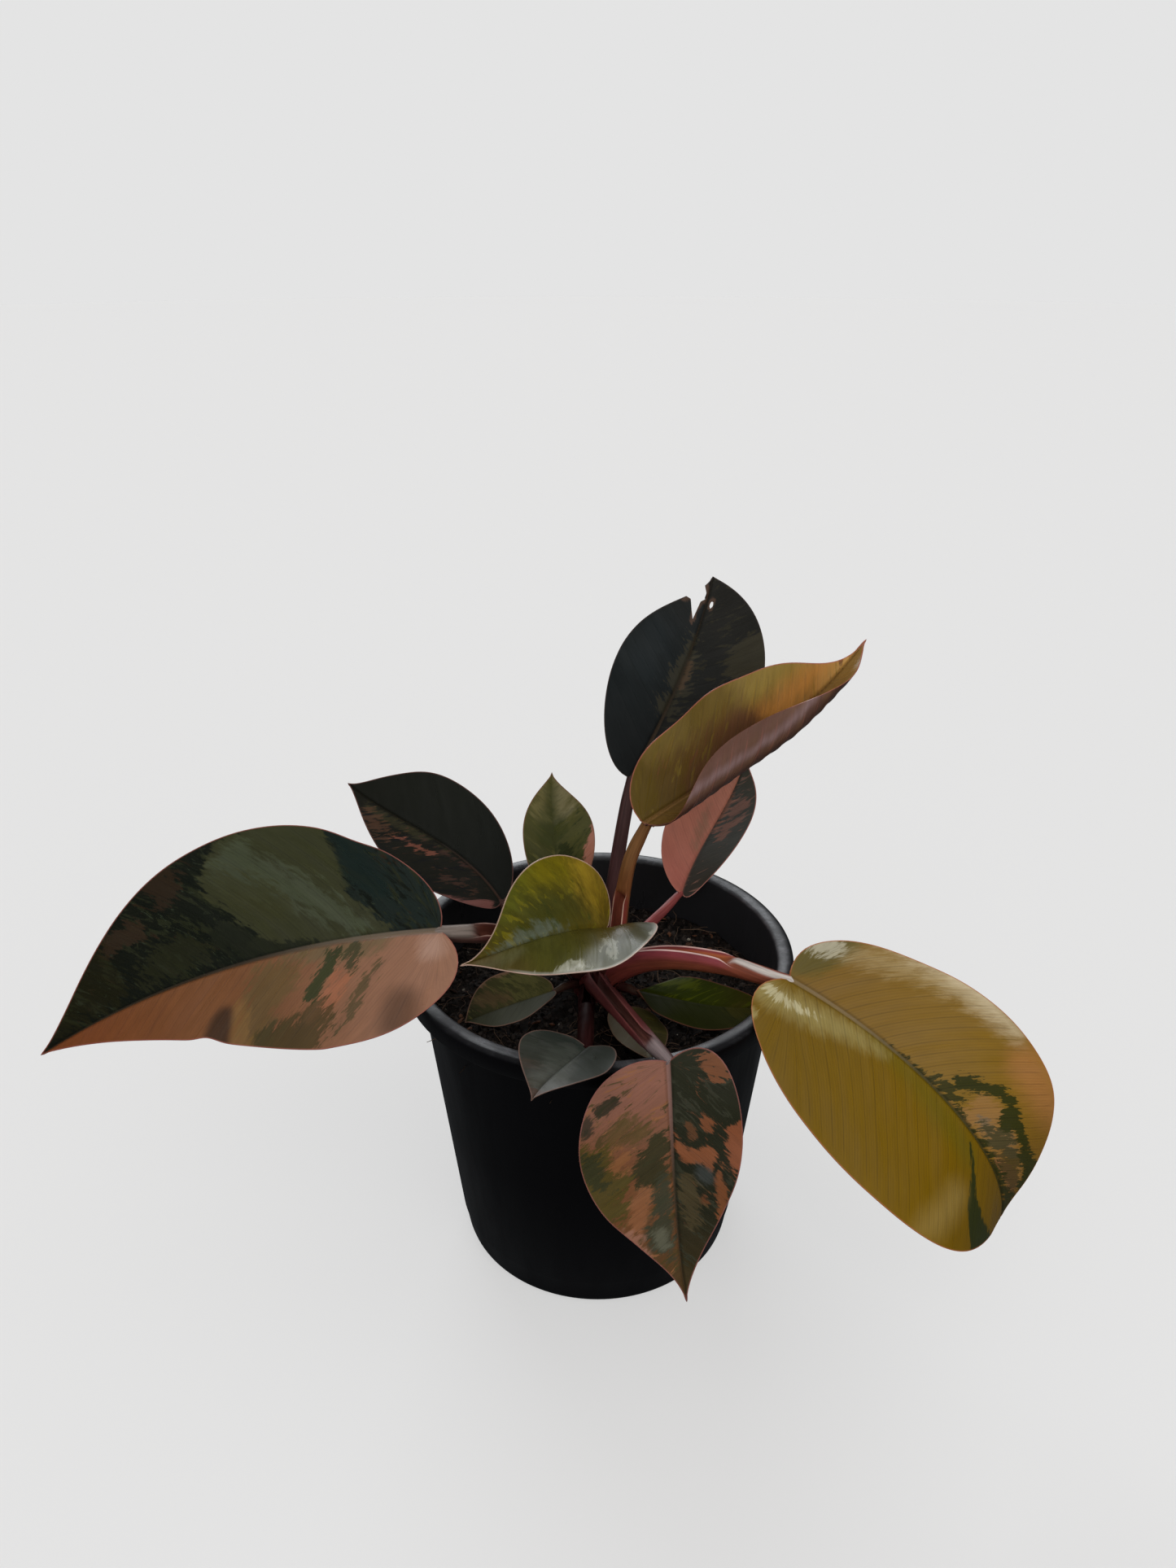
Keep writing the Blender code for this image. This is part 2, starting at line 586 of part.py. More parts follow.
def main():
    clear_scene()
    parts = new_collection("potted_philodendron")
    cutters = new_collection("cutters", hidden=True)
    make_pot(parts, cutters)
    make_soil(parts)
    bark = plain_material("stem", (0.05, 0.014, 0.014), 0.5)
    revolved("stem", stem_profile(), 20, parts, bark)
    stem_cutter = revolved("cutter_stem", stem_profile(GAP), 20, cutters)

    red = plain_material("leaf stalk", (0.12, 0.03, 0.02), 0.4)
    green = plain_material("green blade", (0.03, 0.05, 0.02), 0.35)
    golden = plain_material("golden blade", (0.25, 0.17, 0.03), 0.35)
    pink = plain_material("pink blade", (0.28, 0.12, 0.08), 0.4)
    looks = {
        "left_large": pink, "front": pink, "back_right": pink,
        "right_large": golden, "high_right": golden,
    }
    stalk_cutters = {}
    for name in STALKS:
        stalk = make_stalk(name, parts, red)
        subtract(stalk, stem_cutter)
        for inner, cutter in stalk_cutters.items():
            if close_by(name, inner):
                subtract(stalk, cutter)
        stalk_cutters[name] = make_stalk(name, cutters, grow=GAP)
    for name in BLADES:
        blade = make_blade(name, parts, looks.get(name, green))
        subtract(blade, stalk_cutters[name])
        if name == "tall_torn":
            subtract(blade, tear_cutter(cutters))


main()
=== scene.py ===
"""Potted variegated philodendron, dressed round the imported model.

Lengths are millimetres until MM turns them into metres. +Z is up and the front is -Y.
"""

import math

import bmesh
import bpy
import numpy as np
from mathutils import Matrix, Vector, noise


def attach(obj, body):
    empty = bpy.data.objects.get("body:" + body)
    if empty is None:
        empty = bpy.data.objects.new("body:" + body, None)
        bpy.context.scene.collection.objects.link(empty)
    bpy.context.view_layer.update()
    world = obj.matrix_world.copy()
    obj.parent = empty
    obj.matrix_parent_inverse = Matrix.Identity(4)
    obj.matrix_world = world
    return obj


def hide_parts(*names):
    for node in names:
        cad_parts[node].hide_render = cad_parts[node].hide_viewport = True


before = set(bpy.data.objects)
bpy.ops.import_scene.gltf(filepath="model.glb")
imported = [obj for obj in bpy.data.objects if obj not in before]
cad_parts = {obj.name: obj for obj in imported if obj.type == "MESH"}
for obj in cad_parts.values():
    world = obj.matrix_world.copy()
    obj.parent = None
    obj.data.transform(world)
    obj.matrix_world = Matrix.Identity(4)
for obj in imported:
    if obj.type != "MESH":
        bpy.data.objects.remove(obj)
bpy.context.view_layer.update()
scene = bpy.context.scene
MM = 0.001


# Camera, backdrop and light
# A phone's wide lens half a metre off looks 25.6 degrees down. The floor and the wall round it are one pale
# grey that only the camera sees, so the leaves mirror the lights and not the set.
EYE = (-3.5, -359.6, 358.7)
DOWNWARD_TILT = 25.61
LENS = 27.2
BACKDROP_GREY = 0.776
BACKDROP_RADIUS = 6.0
FLOOR_GREY = 0.27
FLOOR_GLOW = 0.513
FLOOR_DROP = 0.2
ROOM_GLOW = 0.05

scene.view_settings.view_transform = "Standard"
camera = bpy.data.objects.new("camera", bpy.data.cameras.new("camera"))
camera.data.sensor_fit = "VERTICAL"
camera.data.sensor_height = 36.0
camera.data.lens = LENS
camera.data.clip_start = 0.02
camera.location = Vector(EYE) * MM
camera.rotation_euler = (math.radians(90.0 - DOWNWARD_TILT), 0.0, 0.0)
scene.collection.objects.link(camera)
scene.camera = camera


class Graph:
    """A node tree written as calls. Each call adds a node, feeds its sockets and gives back an output."""

    def __init__(self, tree):
        self.tree = tree

    def feed(self, socket, value):
        if isinstance(value, bpy.types.NodeSocket):
            self.tree.links.new(value, socket)
        elif isinstance(value, (tuple, list)) and socket.type == "RGBA":
            socket.default_value = (*value[:3], 1.0)
        else:
            socket.default_value = value

    def add(self, kind, fed=None, out=0, **settings):
        node = self.tree.nodes.new(kind)
        for key, value in settings.items():
            setattr(node, key, value)
        for key, value in (fed or {}).items():
            self.feed(node.inputs[key], value)
        return node.outputs[out]

    def math(self, operation, *values, clamp=False):
        fed = dict(enumerate(values))
        return self.add("ShaderNodeMath", fed, operation=operation, use_clamp=clamp)

    def vector(self, operation, *values, out=0):
        return self.add("ShaderNodeVectorMath", dict(enumerate(values)), out, operation=operation)


class Finish(Graph):
    """A surface finish: a Principled shader and the nodes that feed it."""

    def __init__(self, name, **constants):
        self.material = bpy.data.materials.new(name)
        self.material.use_nodes = True
        super().__init__(self.material.node_tree)
        self.shader = self.tree.nodes["Principled BSDF"]
        for key, value in constants.items():
            self.set(key.replace("_", " ").title().replace("Ior", "IOR"), value)

    def set(self, socket, value):
        self.feed(self.shader.inputs[socket], value)

    def place(self):
        return self.add("ShaderNodeTexCoord", out="Object")

    def named(self, attribute, out="Fac"):
        return self.add("ShaderNodeAttribute", out=out, attribute_name=attribute)

    def noise(self, where, size, detail=2.0, roughness=0.5, distortion=0.0):
        fed = {"Vector": where, "Scale": 1.0 / size, "Detail": detail}
        fed.update({"Roughness": roughness, "Distortion": distortion})
        return self.add("ShaderNodeTexNoise", fed)

    def stretched(self, where, scale, offset=(0.0, 0.0, 0.0)):
        fed = {"Vector": where, "Scale": scale, "Location": offset}
        return self.add("ShaderNodeMapping", fed)

    def step(self, value, low, high, to_low=0.0, to_high=1.0):
        fed = {0: value, 1: low, 2: high, 3: to_low, 4: to_high}
        return self.add("ShaderNodeMapRange", fed, interpolation_type="SMOOTHSTEP")

    def mix(self, factor, one, other):
        fed = {0: factor, 6: one, 7: other}
        return self.add("ShaderNodeMix", fed, out=2, data_type="RGBA")

    def scaled(self, colour, factor):
        """The colour made lighter or darker by a number round 1."""
        return self.add("ShaderNodeVectorMath", {0: colour, 3: factor}, operation="SCALE")

    def split(self, vector):
        self.add("ShaderNodeSeparateXYZ", {0: vector})
        return list(self.tree.nodes[-1].outputs)

    def join(self, x, y, z):
        return self.add("ShaderNodeCombineXYZ", {0: x, 1: y, 2: z})

    def bump(self, height, depth, strength=1.0, after=None):
        fed = {"Height": height, "Distance": depth, "Strength": strength}
        if after is not None:
            fed["Normal"] = after
        return self.add("ShaderNodeBump", fed)


def tone(red, green, blue):
    """A colour picked in steps of 0 to 255, as the linear value that a shader takes."""
    found = []
    for step in (red, green, blue):
        part = step / 255.0
        found.append(part / 12.92 if part <= 0.04045 else ((part + 0.055) / 1.055) ** 2.4)
    return tuple(found)


def new_piece(name, mesh, finish, node=None):
    """A finished mesh as an object. With a node given, it rides on the root body in that node's place."""
    piece = bpy.data.objects.new(name, mesh)
    scene.collection.objects.link(piece)
    mesh.materials.clear()
    mesh.materials.append(finish)
    if node:
        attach(piece, "root")
        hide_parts(node)
    return piece


def camera_only(piece):
    """Keeps a piece of the set out of the object's light and reflections."""
    piece.visible_diffuse = piece.visible_glossy = piece.visible_transmission = False


floor_mesh = bpy.data.meshes.new("floor")
bm = bmesh.new()
bmesh.ops.create_circle(bm, cap_ends=True, segments=96, radius=BACKDROP_RADIUS)
bmesh.ops.translate(bm, verts=bm.verts, vec=(0.0, 0.0, -FLOOR_DROP * MM))
bm.to_mesh(floor_mesh)
bm.free()
floor_finish = Finish("pale floor", base_color=(FLOOR_GREY,) * 3, roughness=0.9, specular_ior_level=0.0)
floor_finish.set("Emission Color", (1.0, 1.0, 1.0))
floor_finish.set("Emission Strength", FLOOR_GLOW)
camera_only(new_piece("floor", floor_mesh, floor_finish.material))

wall_mesh = bpy.data.meshes.new("backdrop")
bm = bmesh.new()
bmesh.ops.create_uvsphere(bm, u_segments=64, v_segments=32, radius=BACKDROP_RADIUS)
bm.to_mesh(wall_mesh)
bm.free()
wall_finish = Finish("pale backdrop", base_color=(0.0, 0.0, 0.0), specular_ior_level=0.0)
wall_finish.set("Emission Color", (BACKDROP_GREY,) * 3)
wall_finish.set("Emission Strength", 1.0)
wall = new_piece("backdrop", wall_mesh, wall_finish.material)
wall.visible_shadow = False
camera_only(wall)

# A window behind, and wide soft light from overhead and in front: direction it comes from, strength, width
# in degrees, colour, and whether gloss mirrors it. Sun lamps keep the floor evenly lit.
LIGHTS = {
    "window behind": ((-0.25, 1.0, 0.52), 1.5, 44.0, (0.93, 0.97, 1.0), True),
    "overhead": ((0.1, -0.25, 1.0), 1.75, 110.0, (1.0, 0.98, 0.96), False),
    "front fill": ((0.1, -1.0, 0.4), 1.5, 90.0, (1.0, 0.97, 0.94), False),
}
for name, (direction, strength, width, colour, mirrored) in LIGHTS.items():
    lamp = bpy.data.objects.new(name, bpy.data.lights.new(name, "SUN"))
    lamp.data.energy = strength
    lamp.data.angle = math.radians(width)
    lamp.data.color = colour
    lamp.rotation_euler = Vector(direction).to_track_quat("Z", "Y").to_euler()
    lamp.visible_glossy = mirrored
    scene.collection.objects.link(lamp)
scene.world = bpy.data.worlds.new("room")
scene.world.use_nodes = True
room_light = scene.world.node_tree.nodes["Background"].inputs
room_light["Color"].default_value = (0.9, 0.95, 1.0, 1.0)
room_light["Strength"].default_value = ROOM_GLOW


# Pot
# A round tapered grower pot blown in thin black plastic, with a turned-out band for a rim and eight round
# drain holes punched in its floor. It stands free.
POT_HEIGHT = 122.0
POT_FOOT_RADIUS = 51.5
POT_TOP_RADIUS = 65.0
POT_TAPER = (POT_TOP_RADIUS - POT_FOOT_RADIUS) / POT_HEIGHT
POT_WALL = 1.2
POT_FLOOR = 2.2
RIM_RADIUS = 70.0
RIM_DEPTH = 7.5
DRAIN_HOLES = 8
DRAIN_RADIUS = 4.0
DRAIN_CIRCLE = 37.0
PUNCH_LENGTH = 8.0


def wall_radius(z):
    return POT_FOOT_RADIUS + POT_TAPER * z


def turned(name, profile, sides):
    """A mesh turned round Z from (radius, height) points in mm that start and end on the axis."""
    mesh = bpy.data.meshes.new(name)
    line = [(radius * MM, 0.0, height * MM) for radius, height in profile]
    mesh.from_pydata(line, [(i, i + 1) for i in range(len(line) - 1)], [])
    blank = bpy.data.objects.new(name, mesh)
    scene.collection.objects.link(blank)
    turn = blank.modifiers.new("turn", "SCREW")
    turn.steps = turn.render_steps = sides
    turn.use_merge_vertices = True
    turn.merge_threshold = 0.00002
    turn.use_normal_calculate = True
    return plain_mesh(blank)


def plain_mesh(blank):
    """The evaluated mesh of a working object, which is removed."""
    graph = bpy.context.evaluated_depsgraph_get()
    mesh = bpy.data.meshes.new_from_object(blank.evaluated_get(graph))
    mesh.name = blank.name
    bpy.data.objects.remove(blank)
    return mesh


def geometry_tree(name, inputs):
    """An empty Geometry Nodes tree with a geometry input, the named inputs and a geometry output."""
    tree = bpy.data.node_groups.new(name, "GeometryNodeTree")
    tree.interface.new_socket("Geometry", in_out="INPUT", socket_type="NodeSocketGeometry")
    for label, (kind, value) in inputs.items():
        socket = tree.interface.new_socket(label, in_out="INPUT", socket_type="NodeSocket" + kind)
        if value is not None:
            socket.default_value = value
    tree.interface.new_socket("Geometry", in_out="OUTPUT", socket_type="NodeSocketGeometry")
    graph = Graph(tree)
    graph.given = tree.nodes.new("NodeGroupInput").outputs
    return graph


def finish_tree(graph, geometry, material):
    """Ends a tree in real geometry with its material on it."""
    real = graph.add("GeometryNodeRealizeInstances", {"Geometry": geometry})
    done = graph.add("GeometryNodeSetMaterial", {"Geometry": real, "Material": material})
    end = graph.tree.nodes.new("NodeGroupOutput")
    graph.tree.links.new(done, end.inputs[0])


def run_tree(mesh, graph, **values):
    """A mesh put through a tree, with the tree's named inputs set by their identifiers."""
    blank = bpy.data.objects.new(mesh.name, mesh)
    scene.collection.objects.link(blank)
    modifier = blank.modifiers.new("tree", "NODES")
    modifier.node_group = graph.tree
    for item in graph.tree.interface.items_tree:
        if item.in_out == "INPUT" and item.name in values:
            modifier[item.identifier] = values[item.name]
    return plain_mesh(blank)


def smooth(mesh, sharp_over=None):
    mesh.shade_smooth()
    if sharp_over:
        mesh.set_sharp_from_angle(angle=math.radians(sharp_over))


plastic = Finish("black pot plastic", specular_ior_level=0.3)
spot = plastic.place()
wall_smear = plastic.noise(plastic.stretched(spot, (1.0, 1.0, 0.25)), 0.02, 4.0, 0.6)
dust = plastic.noise(spot, 0.006, 5.0, 0.7)
height = plastic.split(spot)[2]
out_from_axis = plastic.vector("LENGTH", plastic.vector("MULTIPLY", spot, (1.0, 1.0, 0.0)), out=1)
# Inside the pot the plastic is painted lighter than outside: painted light on the inner wall and floor.
past_taper = plastic.math("MULTIPLY_ADD", height, -POT_TAPER, out_from_axis)
wall_from, wall_to = (POT_FOOT_RADIUS - 1.0) * MM, (POT_FOOT_RADIUS - 0.5) * MM
inner_wall_painted_light = plastic.step(past_taper, wall_from, wall_to, 0.085, 0.0)
# A thin pale line round the inner edge of the rim's top is dust speckle and a painted highlight; elsewhere
# the dust is faint. The mix also takes in the inner wall's painted light.
rim_inside = plastic.step(out_from_axis, (RIM_RADIUS - 2.8) * MM, (RIM_RADIUS - 1.2) * MM, 1.0, 0.2)
rim_top = plastic.step(height, (POT_HEIGHT - 1.7) * MM, (POT_HEIGHT - 0.3) * MM)
rim_top = plastic.math("MULTIPLY", rim_top, rim_inside)
dust_and_painted_light = plastic.math("MULTIPLY_ADD", plastic.step(dust, 0.45, 0.75), 0.35, 0.2)
dust_and_painted_light = plastic.math("MULTIPLY", dust_and_painted_light, plastic.math("MULTIPLY_ADD", rim_top, 1.25, 0.006))
dust_and_painted_light = plastic.math("MAXIMUM", dust_and_painted_light, inner_wall_painted_light)
plastic.set("Base Color", plastic.mix(dust_and_painted_light, tone(5, 4, 6), tone(112, 113, 118)))
plastic.set("Roughness", plastic.step(wall_smear, 0.3, 0.7, 0.26, 0.44))
grain = plastic.noise(spot, 0.0006, 2.0)
flow = plastic.noise(plastic.stretched(spot, (1.0, 1.0, 0.04)), 0.004, 3.0)
moulded = plastic.bump(flow, 0.0003, 0.35)
plastic.set("Normal", plastic.bump(grain, 0.00005, 0.4, moulded))

rim_foot = POT_HEIGHT - RIM_DEPTH
pot_profile = [
    (0.0, 0.0), (POT_FOOT_RADIUS - 4.7, 0.0), (POT_FOOT_RADIUS - 3.9, 0.15), (POT_FOOT_RADIUS - 2.3, 0.7),
    (POT_FOOT_RADIUS - 1.1, 1.5), (POT_FOOT_RADIUS - 0.3, 2.4), (POT_FOOT_RADIUS + 0.1, 3.8),
    (wall_radius(12.0), 12.0), (wall_radius(12.6) + 0.25, 12.6),
    (wall_radius(60.0) + 0.1, 60.0), (wall_radius(rim_foot - 1.2), rim_foot - 1.2),
    (wall_radius(POT_HEIGHT) - 0.1, rim_foot + 2.5), (wall_radius(POT_HEIGHT) - 0.1, POT_HEIGHT - 2.0),
    (RIM_RADIUS - 1.6, POT_HEIGHT - 1.7), (RIM_RADIUS - 1.3, POT_HEIGHT - 2.2),
    (RIM_RADIUS - 1.25, rim_foot + 0.3), (RIM_RADIUS - 1.0, rim_foot), (RIM_RADIUS - 0.6, rim_foot),
    (RIM_RADIUS - 0.35, rim_foot + 0.4), (RIM_RADIUS - 0.1, POT_HEIGHT - 1.5),
    (RIM_RADIUS - 0.25, POT_HEIGHT - 0.75), (RIM_RADIUS - 0.7, POT_HEIGHT - 0.2),
    (RIM_RADIUS - 1.4, POT_HEIGHT), (wall_radius(POT_HEIGHT) + 0.2, POT_HEIGHT - 0.05),
    (wall_radius(POT_HEIGHT) - 0.6, POT_HEIGHT - 0.5),
    (wall_radius(POT_HEIGHT) - POT_WALL, POT_HEIGHT - 1.6),
    (wall_radius(60.0) - POT_WALL, 60.0), (wall_radius(4.0) - POT_WALL, 4.0),
    (POT_FOOT_RADIUS - 5.0, POT_FLOOR), (0.0, POT_FLOOR),
]
punch = geometry_tree("punched drain holes", {
    "Holes": ("Int", DRAIN_HOLES), "Hole radius": ("Float", DRAIN_RADIUS * MM),
    "Circle radius": ("Float", DRAIN_CIRCLE * MM)})
ring = punch.add("GeometryNodeMeshCircle", {
    "Vertices": punch.given["Holes"], "Radius": punch.given["Circle radius"]})
half_step = punch.math("DIVIDE", math.pi, punch.given["Holes"])
turned_ring = punch.add("GeometryNodeTransform", {
    "Geometry": ring, "Rotation": punch.add("ShaderNodeCombineXYZ", {2: half_step})})
pin = punch.add("GeometryNodeMeshCylinder", {
    "Vertices": 24, "Radius": punch.given["Hole radius"], "Depth": PUNCH_LENGTH * MM})
pins = punch.add("GeometryNodeInstanceOnPoints", {"Points": turned_ring, "Instance": pin})
pins = punch.add("GeometryNodeRealizeInstances", {"Geometry": pins})
holed = punch.add("GeometryNodeMeshBoolean", {0: punch.given["Geometry"], 1: pins}, operation="DIFFERENCE")
finish_tree(punch, holed, plastic.material)
pot_mesh = run_tree(turned("pot_shell", pot_profile, 144), punch)
smooth(pot_mesh, 38.0)
new_piece("pot_shell", pot_mesh, plastic.material, "pot")


# Soil
# Dark moist peat mix that fills the pot to two centimetres below the rim, pressed in by hand round the
# stem. Crumbs, bark chips and coir fibres lie loose on it.
SOIL_LEVEL = 101.5
SOIL_FOOT = 2.6
SOIL_FOOT_RADIUS = 49.0
SOIL_RING_STEP = 1.25
SOIL_SIDES = 200
LOWEST_LOOSE = 95.0
soil_radius = wall_radius(100.0) - POT_WALL - 0.3


def soil_height(x, y):
    """Height of the soil in mm: a low mound at the stem with lumps on it."""
    r = math.hypot(x, y)
    mound = 1.6 * math.exp(-((r / 24.0) ** 2))
    lumps = 0.7 * math.sin(0.31 * x + 1.3) * math.sin(0.27 * y + 0.4)
    lumps += 0.45 * math.sin(0.63 * x - 0.41 * y) + 0.3 * math.sin(0.22 * x + 0.71 * y + 2.0)
    return SOIL_LEVEL + mound + lumps * min(1.0, max(0.0, (r - 9.0) / 8.0))


def crumbly_height(x, y):
    small = noise.fractal(Vector((x, y, 3.0)) / 3.1, 0.9, 2.1, 4) * 0.55
    return soil_height(x, y) - 0.25 + small + 0.4 * noise.noise(Vector((x, y, 9.0)) / 7.0)


peat = Finish("peat mix", roughness=0.95, specular_ior_level=0.25)
spot = peat.place()
clod = peat.noise(spot, 0.0016, 6.0, 0.75)
damp = peat.noise(spot, 0.011, 2.0)
colour = peat.mix(peat.step(clod, 0.35, 0.7), tone(9, 8, 8), tone(46, 37, 31))
peat.set("Base Color", peat.mix(peat.step(damp, 0.45, 0.65, 0.0, 0.5), colour, tone(13, 11, 10)))
peat.set("Normal", peat.bump(clod, 0.0009, 0.8))

rings = np.arange(0.0, soil_radius + 0.6, SOIL_RING_STEP)
points, faces = [(0.0, 0.0, crumbly_height(0.0, 0.0))], []
for radius in rings[1:]:
    for i in range(SOIL_SIDES):
        turn = 2.0 * math.pi * i / SOIL_SIDES
        x, y = radius * math.cos(turn), radius * math.sin(turn)
        points.append((x, y, crumbly_height(x, y)))
for i in range(SOIL_SIDES):
    turn = 2.0 * math.pi * i / SOIL_SIDES
    points.append((SOIL_FOOT_RADIUS * math.cos(turn), SOIL_FOOT_RADIUS * math.sin(turn), SOIL_FOOT))
points.append((0.0, 0.0, SOIL_FOOT))
first = [1 + k * SOIL_SIDES for k in range(len(rings))]
for i in range(SOIL_SIDES):
    j = (i + 1) % SOIL_SIDES
    faces.append((0, 1 + i, 1 + j))
    faces.append((first[-1] + j, first[-1] + i, len(points) - 1))
    for one, other in zip(first, first[1:]):
        faces.append((one + i, other + i, other + j, one + j))
soil_mesh = bpy.data.meshes.new("soil_body")
soil_mesh.from_pydata([Vector(p) * MM for p in points], [], faces)
smooth(soil_mesh)
new_piece("soil_body", soil_mesh, peat.material, "soil")


def lump(name, size, squash, seed, detail=1):
    """A rough crumb or chip of a few dozen faces, round the origin."""
    shape = bmesh.new()
    bmesh.ops.create_icosphere(shape, subdivisions=detail, radius=size * MM)
    for vert in shape.verts:
        push = 1.0 + 0.55 * noise.noise(vert.co / (size * MM) * 1.3 + Vector((seed, 0.0, 0.0)))
        vert.co = Vector([a * b * push for a, b in zip(vert.co, squash)])
    mesh = bpy.data.meshes.new(name)
    shape.to_mesh(mesh)
    shape.free()
    return mesh


def strand(name, length, thickness, curl, seed):
    """One coir fibre: a four-sided tube along a bent line that lies on the ground."""
    path = []
    for i in range(8):
        t = i / 7.0
        swing = curl * math.sin(3.0 * t + seed) + 0.3 * curl * math.sin(9.0 * t + 2.0 * seed)
        path.append(Vector((length * (t - 0.5), swing, 0.35 * curl * math.sin(math.pi * t))) * MM)
    shape = bmesh.new()
    rows = []
    for i, point in enumerate(path):
        ahead = (path[min(i + 1, 7)] - path[max(i - 1, 0)]).normalized()
        side = ahead.cross(Vector((0.0, 0.0, 1.0))).normalized()
        rise = side.cross(ahead)
        thin = thickness * MM * (0.5 + 0.5 * math.sin(math.pi * (0.15 + 0.7 * i / 7.0)))
        corners = (side * thin, rise * thin, -side * thin, -rise * thin)
        rows.append([shape.verts.new(point + corner) for corner in corners])
    for one, other in zip(rows, rows[1:]):
        for k in range(4):
            shape.faces.new((one[k], one[(k + 1) % 4], other[(k + 1) % 4], other[k]))
    shape.faces.new(rows[0][::-1])
    shape.faces.new(rows[-1])
    bmesh.ops.recalc_face_normals(shape, faces=shape.faces)
    mesh = bpy.data.meshes.new(name)
    shape.to_mesh(mesh)
    shape.free()
    return mesh


def sample_collection(name, meshes):
    group = bpy.data.collections.new(name)
    for mesh in meshes:
        group.objects.link(bpy.data.objects.new(mesh.name, mesh))
    return group


def scatter_tree(name, samples, finish):
    """Samples strewn over a surface, each turned, sized and toned by a seeded draw."""
    graph = geometry_tree(name, {
        "Pieces per square metre": ("Float", 1000.0), "Seed": ("Int", 1), "Smallest": ("Float", 0.5),
        "Largest": ("Float", 1.5), "Tumble": ("Float", 3.14), "Lift": ("Float", 0.0)})
    given = graph.given
    spread = graph.tree.nodes.new("GeometryNodeDistributePointsOnFaces")
    graph.feed(spread.inputs["Mesh"], given["Geometry"])
    graph.feed(spread.inputs["Density"], given["Pieces per square metre"])
    graph.feed(spread.inputs["Seed"], given["Seed"])
    pool = graph.add("GeometryNodeCollectionInfo", {
        "Collection": samples, "Separate Children": True, "Reset Children": True})
    tumble = given["Tumble"]
    low = graph.add("ShaderNodeCombineXYZ", {
        0: graph.math("MULTIPLY", tumble, -1.0), 1: graph.math("MULTIPLY", tumble, -1.0), 2: -math.pi})
    high = graph.add("ShaderNodeCombineXYZ", {0: tumble, 1: tumble, 2: math.pi})
    turn = graph.add("FunctionNodeRandomValue", {
        0: low, 1: high, "Seed": given["Seed"]}, data_type="FLOAT_VECTOR")
    size = graph.add("FunctionNodeRandomValue", {
        2: given["Smallest"], 3: given["Largest"], "Seed": 7}, out=1, data_type="FLOAT")
    strewn = graph.add("GeometryNodeInstanceOnPoints", {
        "Points": spread.outputs["Points"], "Instance": pool, "Pick Instance": True,
        "Rotation": turn, "Scale": size})
    lifted = graph.add("GeometryNodeTranslateInstances", {
        "Instances": strewn, "Translation": graph.add("ShaderNodeCombineXYZ", {2: given["Lift"]}),
        "Local Space": False})
    draw = graph.add("FunctionNodeRandomValue", {2: 0.0, 3: 1.0, "Seed": 11}, out=1, data_type="FLOAT")
    toned = graph.add("GeometryNodeStoreNamedAttribute", {
        "Geometry": lifted, "Name": "tone", "Value": draw}, data_type="FLOAT", domain="INSTANCE")
    finish_tree(graph, toned, finish)
    return graph


def loose_finish(name, dark, pale, roughness):
    """A rough matter whose pieces run from dark to pale by their own draw."""
    finish = Finish(name, roughness=roughness, specular_ior_level=0.3)
    spot = finish.place()
    mottle = finish.noise(spot, 0.0009, 3.0, 0.6)
    draw = finish.named("tone")
    blend = finish.math("MULTIPLY_ADD", draw, 0.9, -0.3)
    blend = finish.math("MULTIPLY_ADD", mottle, 0.5, blend, clamp=True)
    finish.set("Base Color", finish.mix(blend, dark, pale))
    finish.set("Normal", finish.bump(mottle, 0.0003, 0.7))
    return finish


# The loose bits are strewn over a copy of the soil's top alone.
top = bmesh.new()
top.from_mesh(soil_mesh)
too_low = [face for face in top.faces if face.calc_center_median().z < LOWEST_LOOSE * MM]
bmesh.ops.delete(top, geom=too_low, context="FACES")
furthest = (soil_radius - 1.5) * MM
too_far = [face for face in top.faces if face.calc_center_median().xy.length > furthest]
bmesh.ops.delete(top, geom=too_far, context="FACES")
top_mesh = bpy.data.meshes.new("soil_top")
top.to_mesh(top_mesh)
top.free()

LOOSE = {
    "soil_crumbs": dict(
        samples=[lump(f"crumb {k}", 1.0, (1.0, 0.85, 0.7), 3.7 * k) for k in range(5)],
        look=("peat crumbs", tone(9, 8, 8), tone(60, 52, 47), 0.95),
        values={"Pieces per square metre": 270000.0, "Seed": 4, "Smallest": 0.35, "Largest": 1.35}),
    "bark_chips": dict(
        samples=[lump(f"chip {k}", 2.0, (1.0, 0.6, 0.3), 5.1 * k + 2.0) for k in range(4)],
        look=("bark chips", tone(30, 17, 12), tone(104, 66, 42), 0.8),
        values={"Pieces per square metre": 9500.0, "Seed": 21, "Smallest": 0.35, "Largest": 1.1,
                "Tumble": 0.7, "Lift": 0.0005}),
    "coir_fibres": dict(
        samples=[strand(f"fibre {k}", 9.0 + 2.0 * k, 0.13, 1.6 + 0.5 * k, 1.9 * k) for k in range(4)],
        look=("coir fibres", tone(36, 24, 18), tone(120, 96, 76), 0.75),
        values={"Pieces per square metre": 26000.0, "Seed": 9, "Smallest": 0.4, "Largest": 1.2,
                "Tumble": 0.35, "Lift": 0.0007}),
    "pale_grit": dict(
        samples=[lump(f"grit {k}", 0.7, (1.0, 0.8, 0.6), 9.3 * k + 1.0) for k in range(3)],
        look=("pale grit", tone(84, 78, 70), tone(170, 164, 150), 0.7),
        values={"Pieces per square metre": 4200.0, "Seed": 33, "Smallest": 0.35, "Largest": 1.0,
                "Lift": 0.0004}),
}
for name, loose in LOOSE.items():
    finish = loose_finish(*loose["look"])
    tree = scatter_tree(name, sample_collection(name, loose["samples"]), finish.material)
    ground = top_mesh.copy()
    ground.name = name
    strewn = run_tree(ground, tree, **loose["values"])
    smooth(strewn, 50.0)
    new_piece(name, strewn, finish.material, "soil")


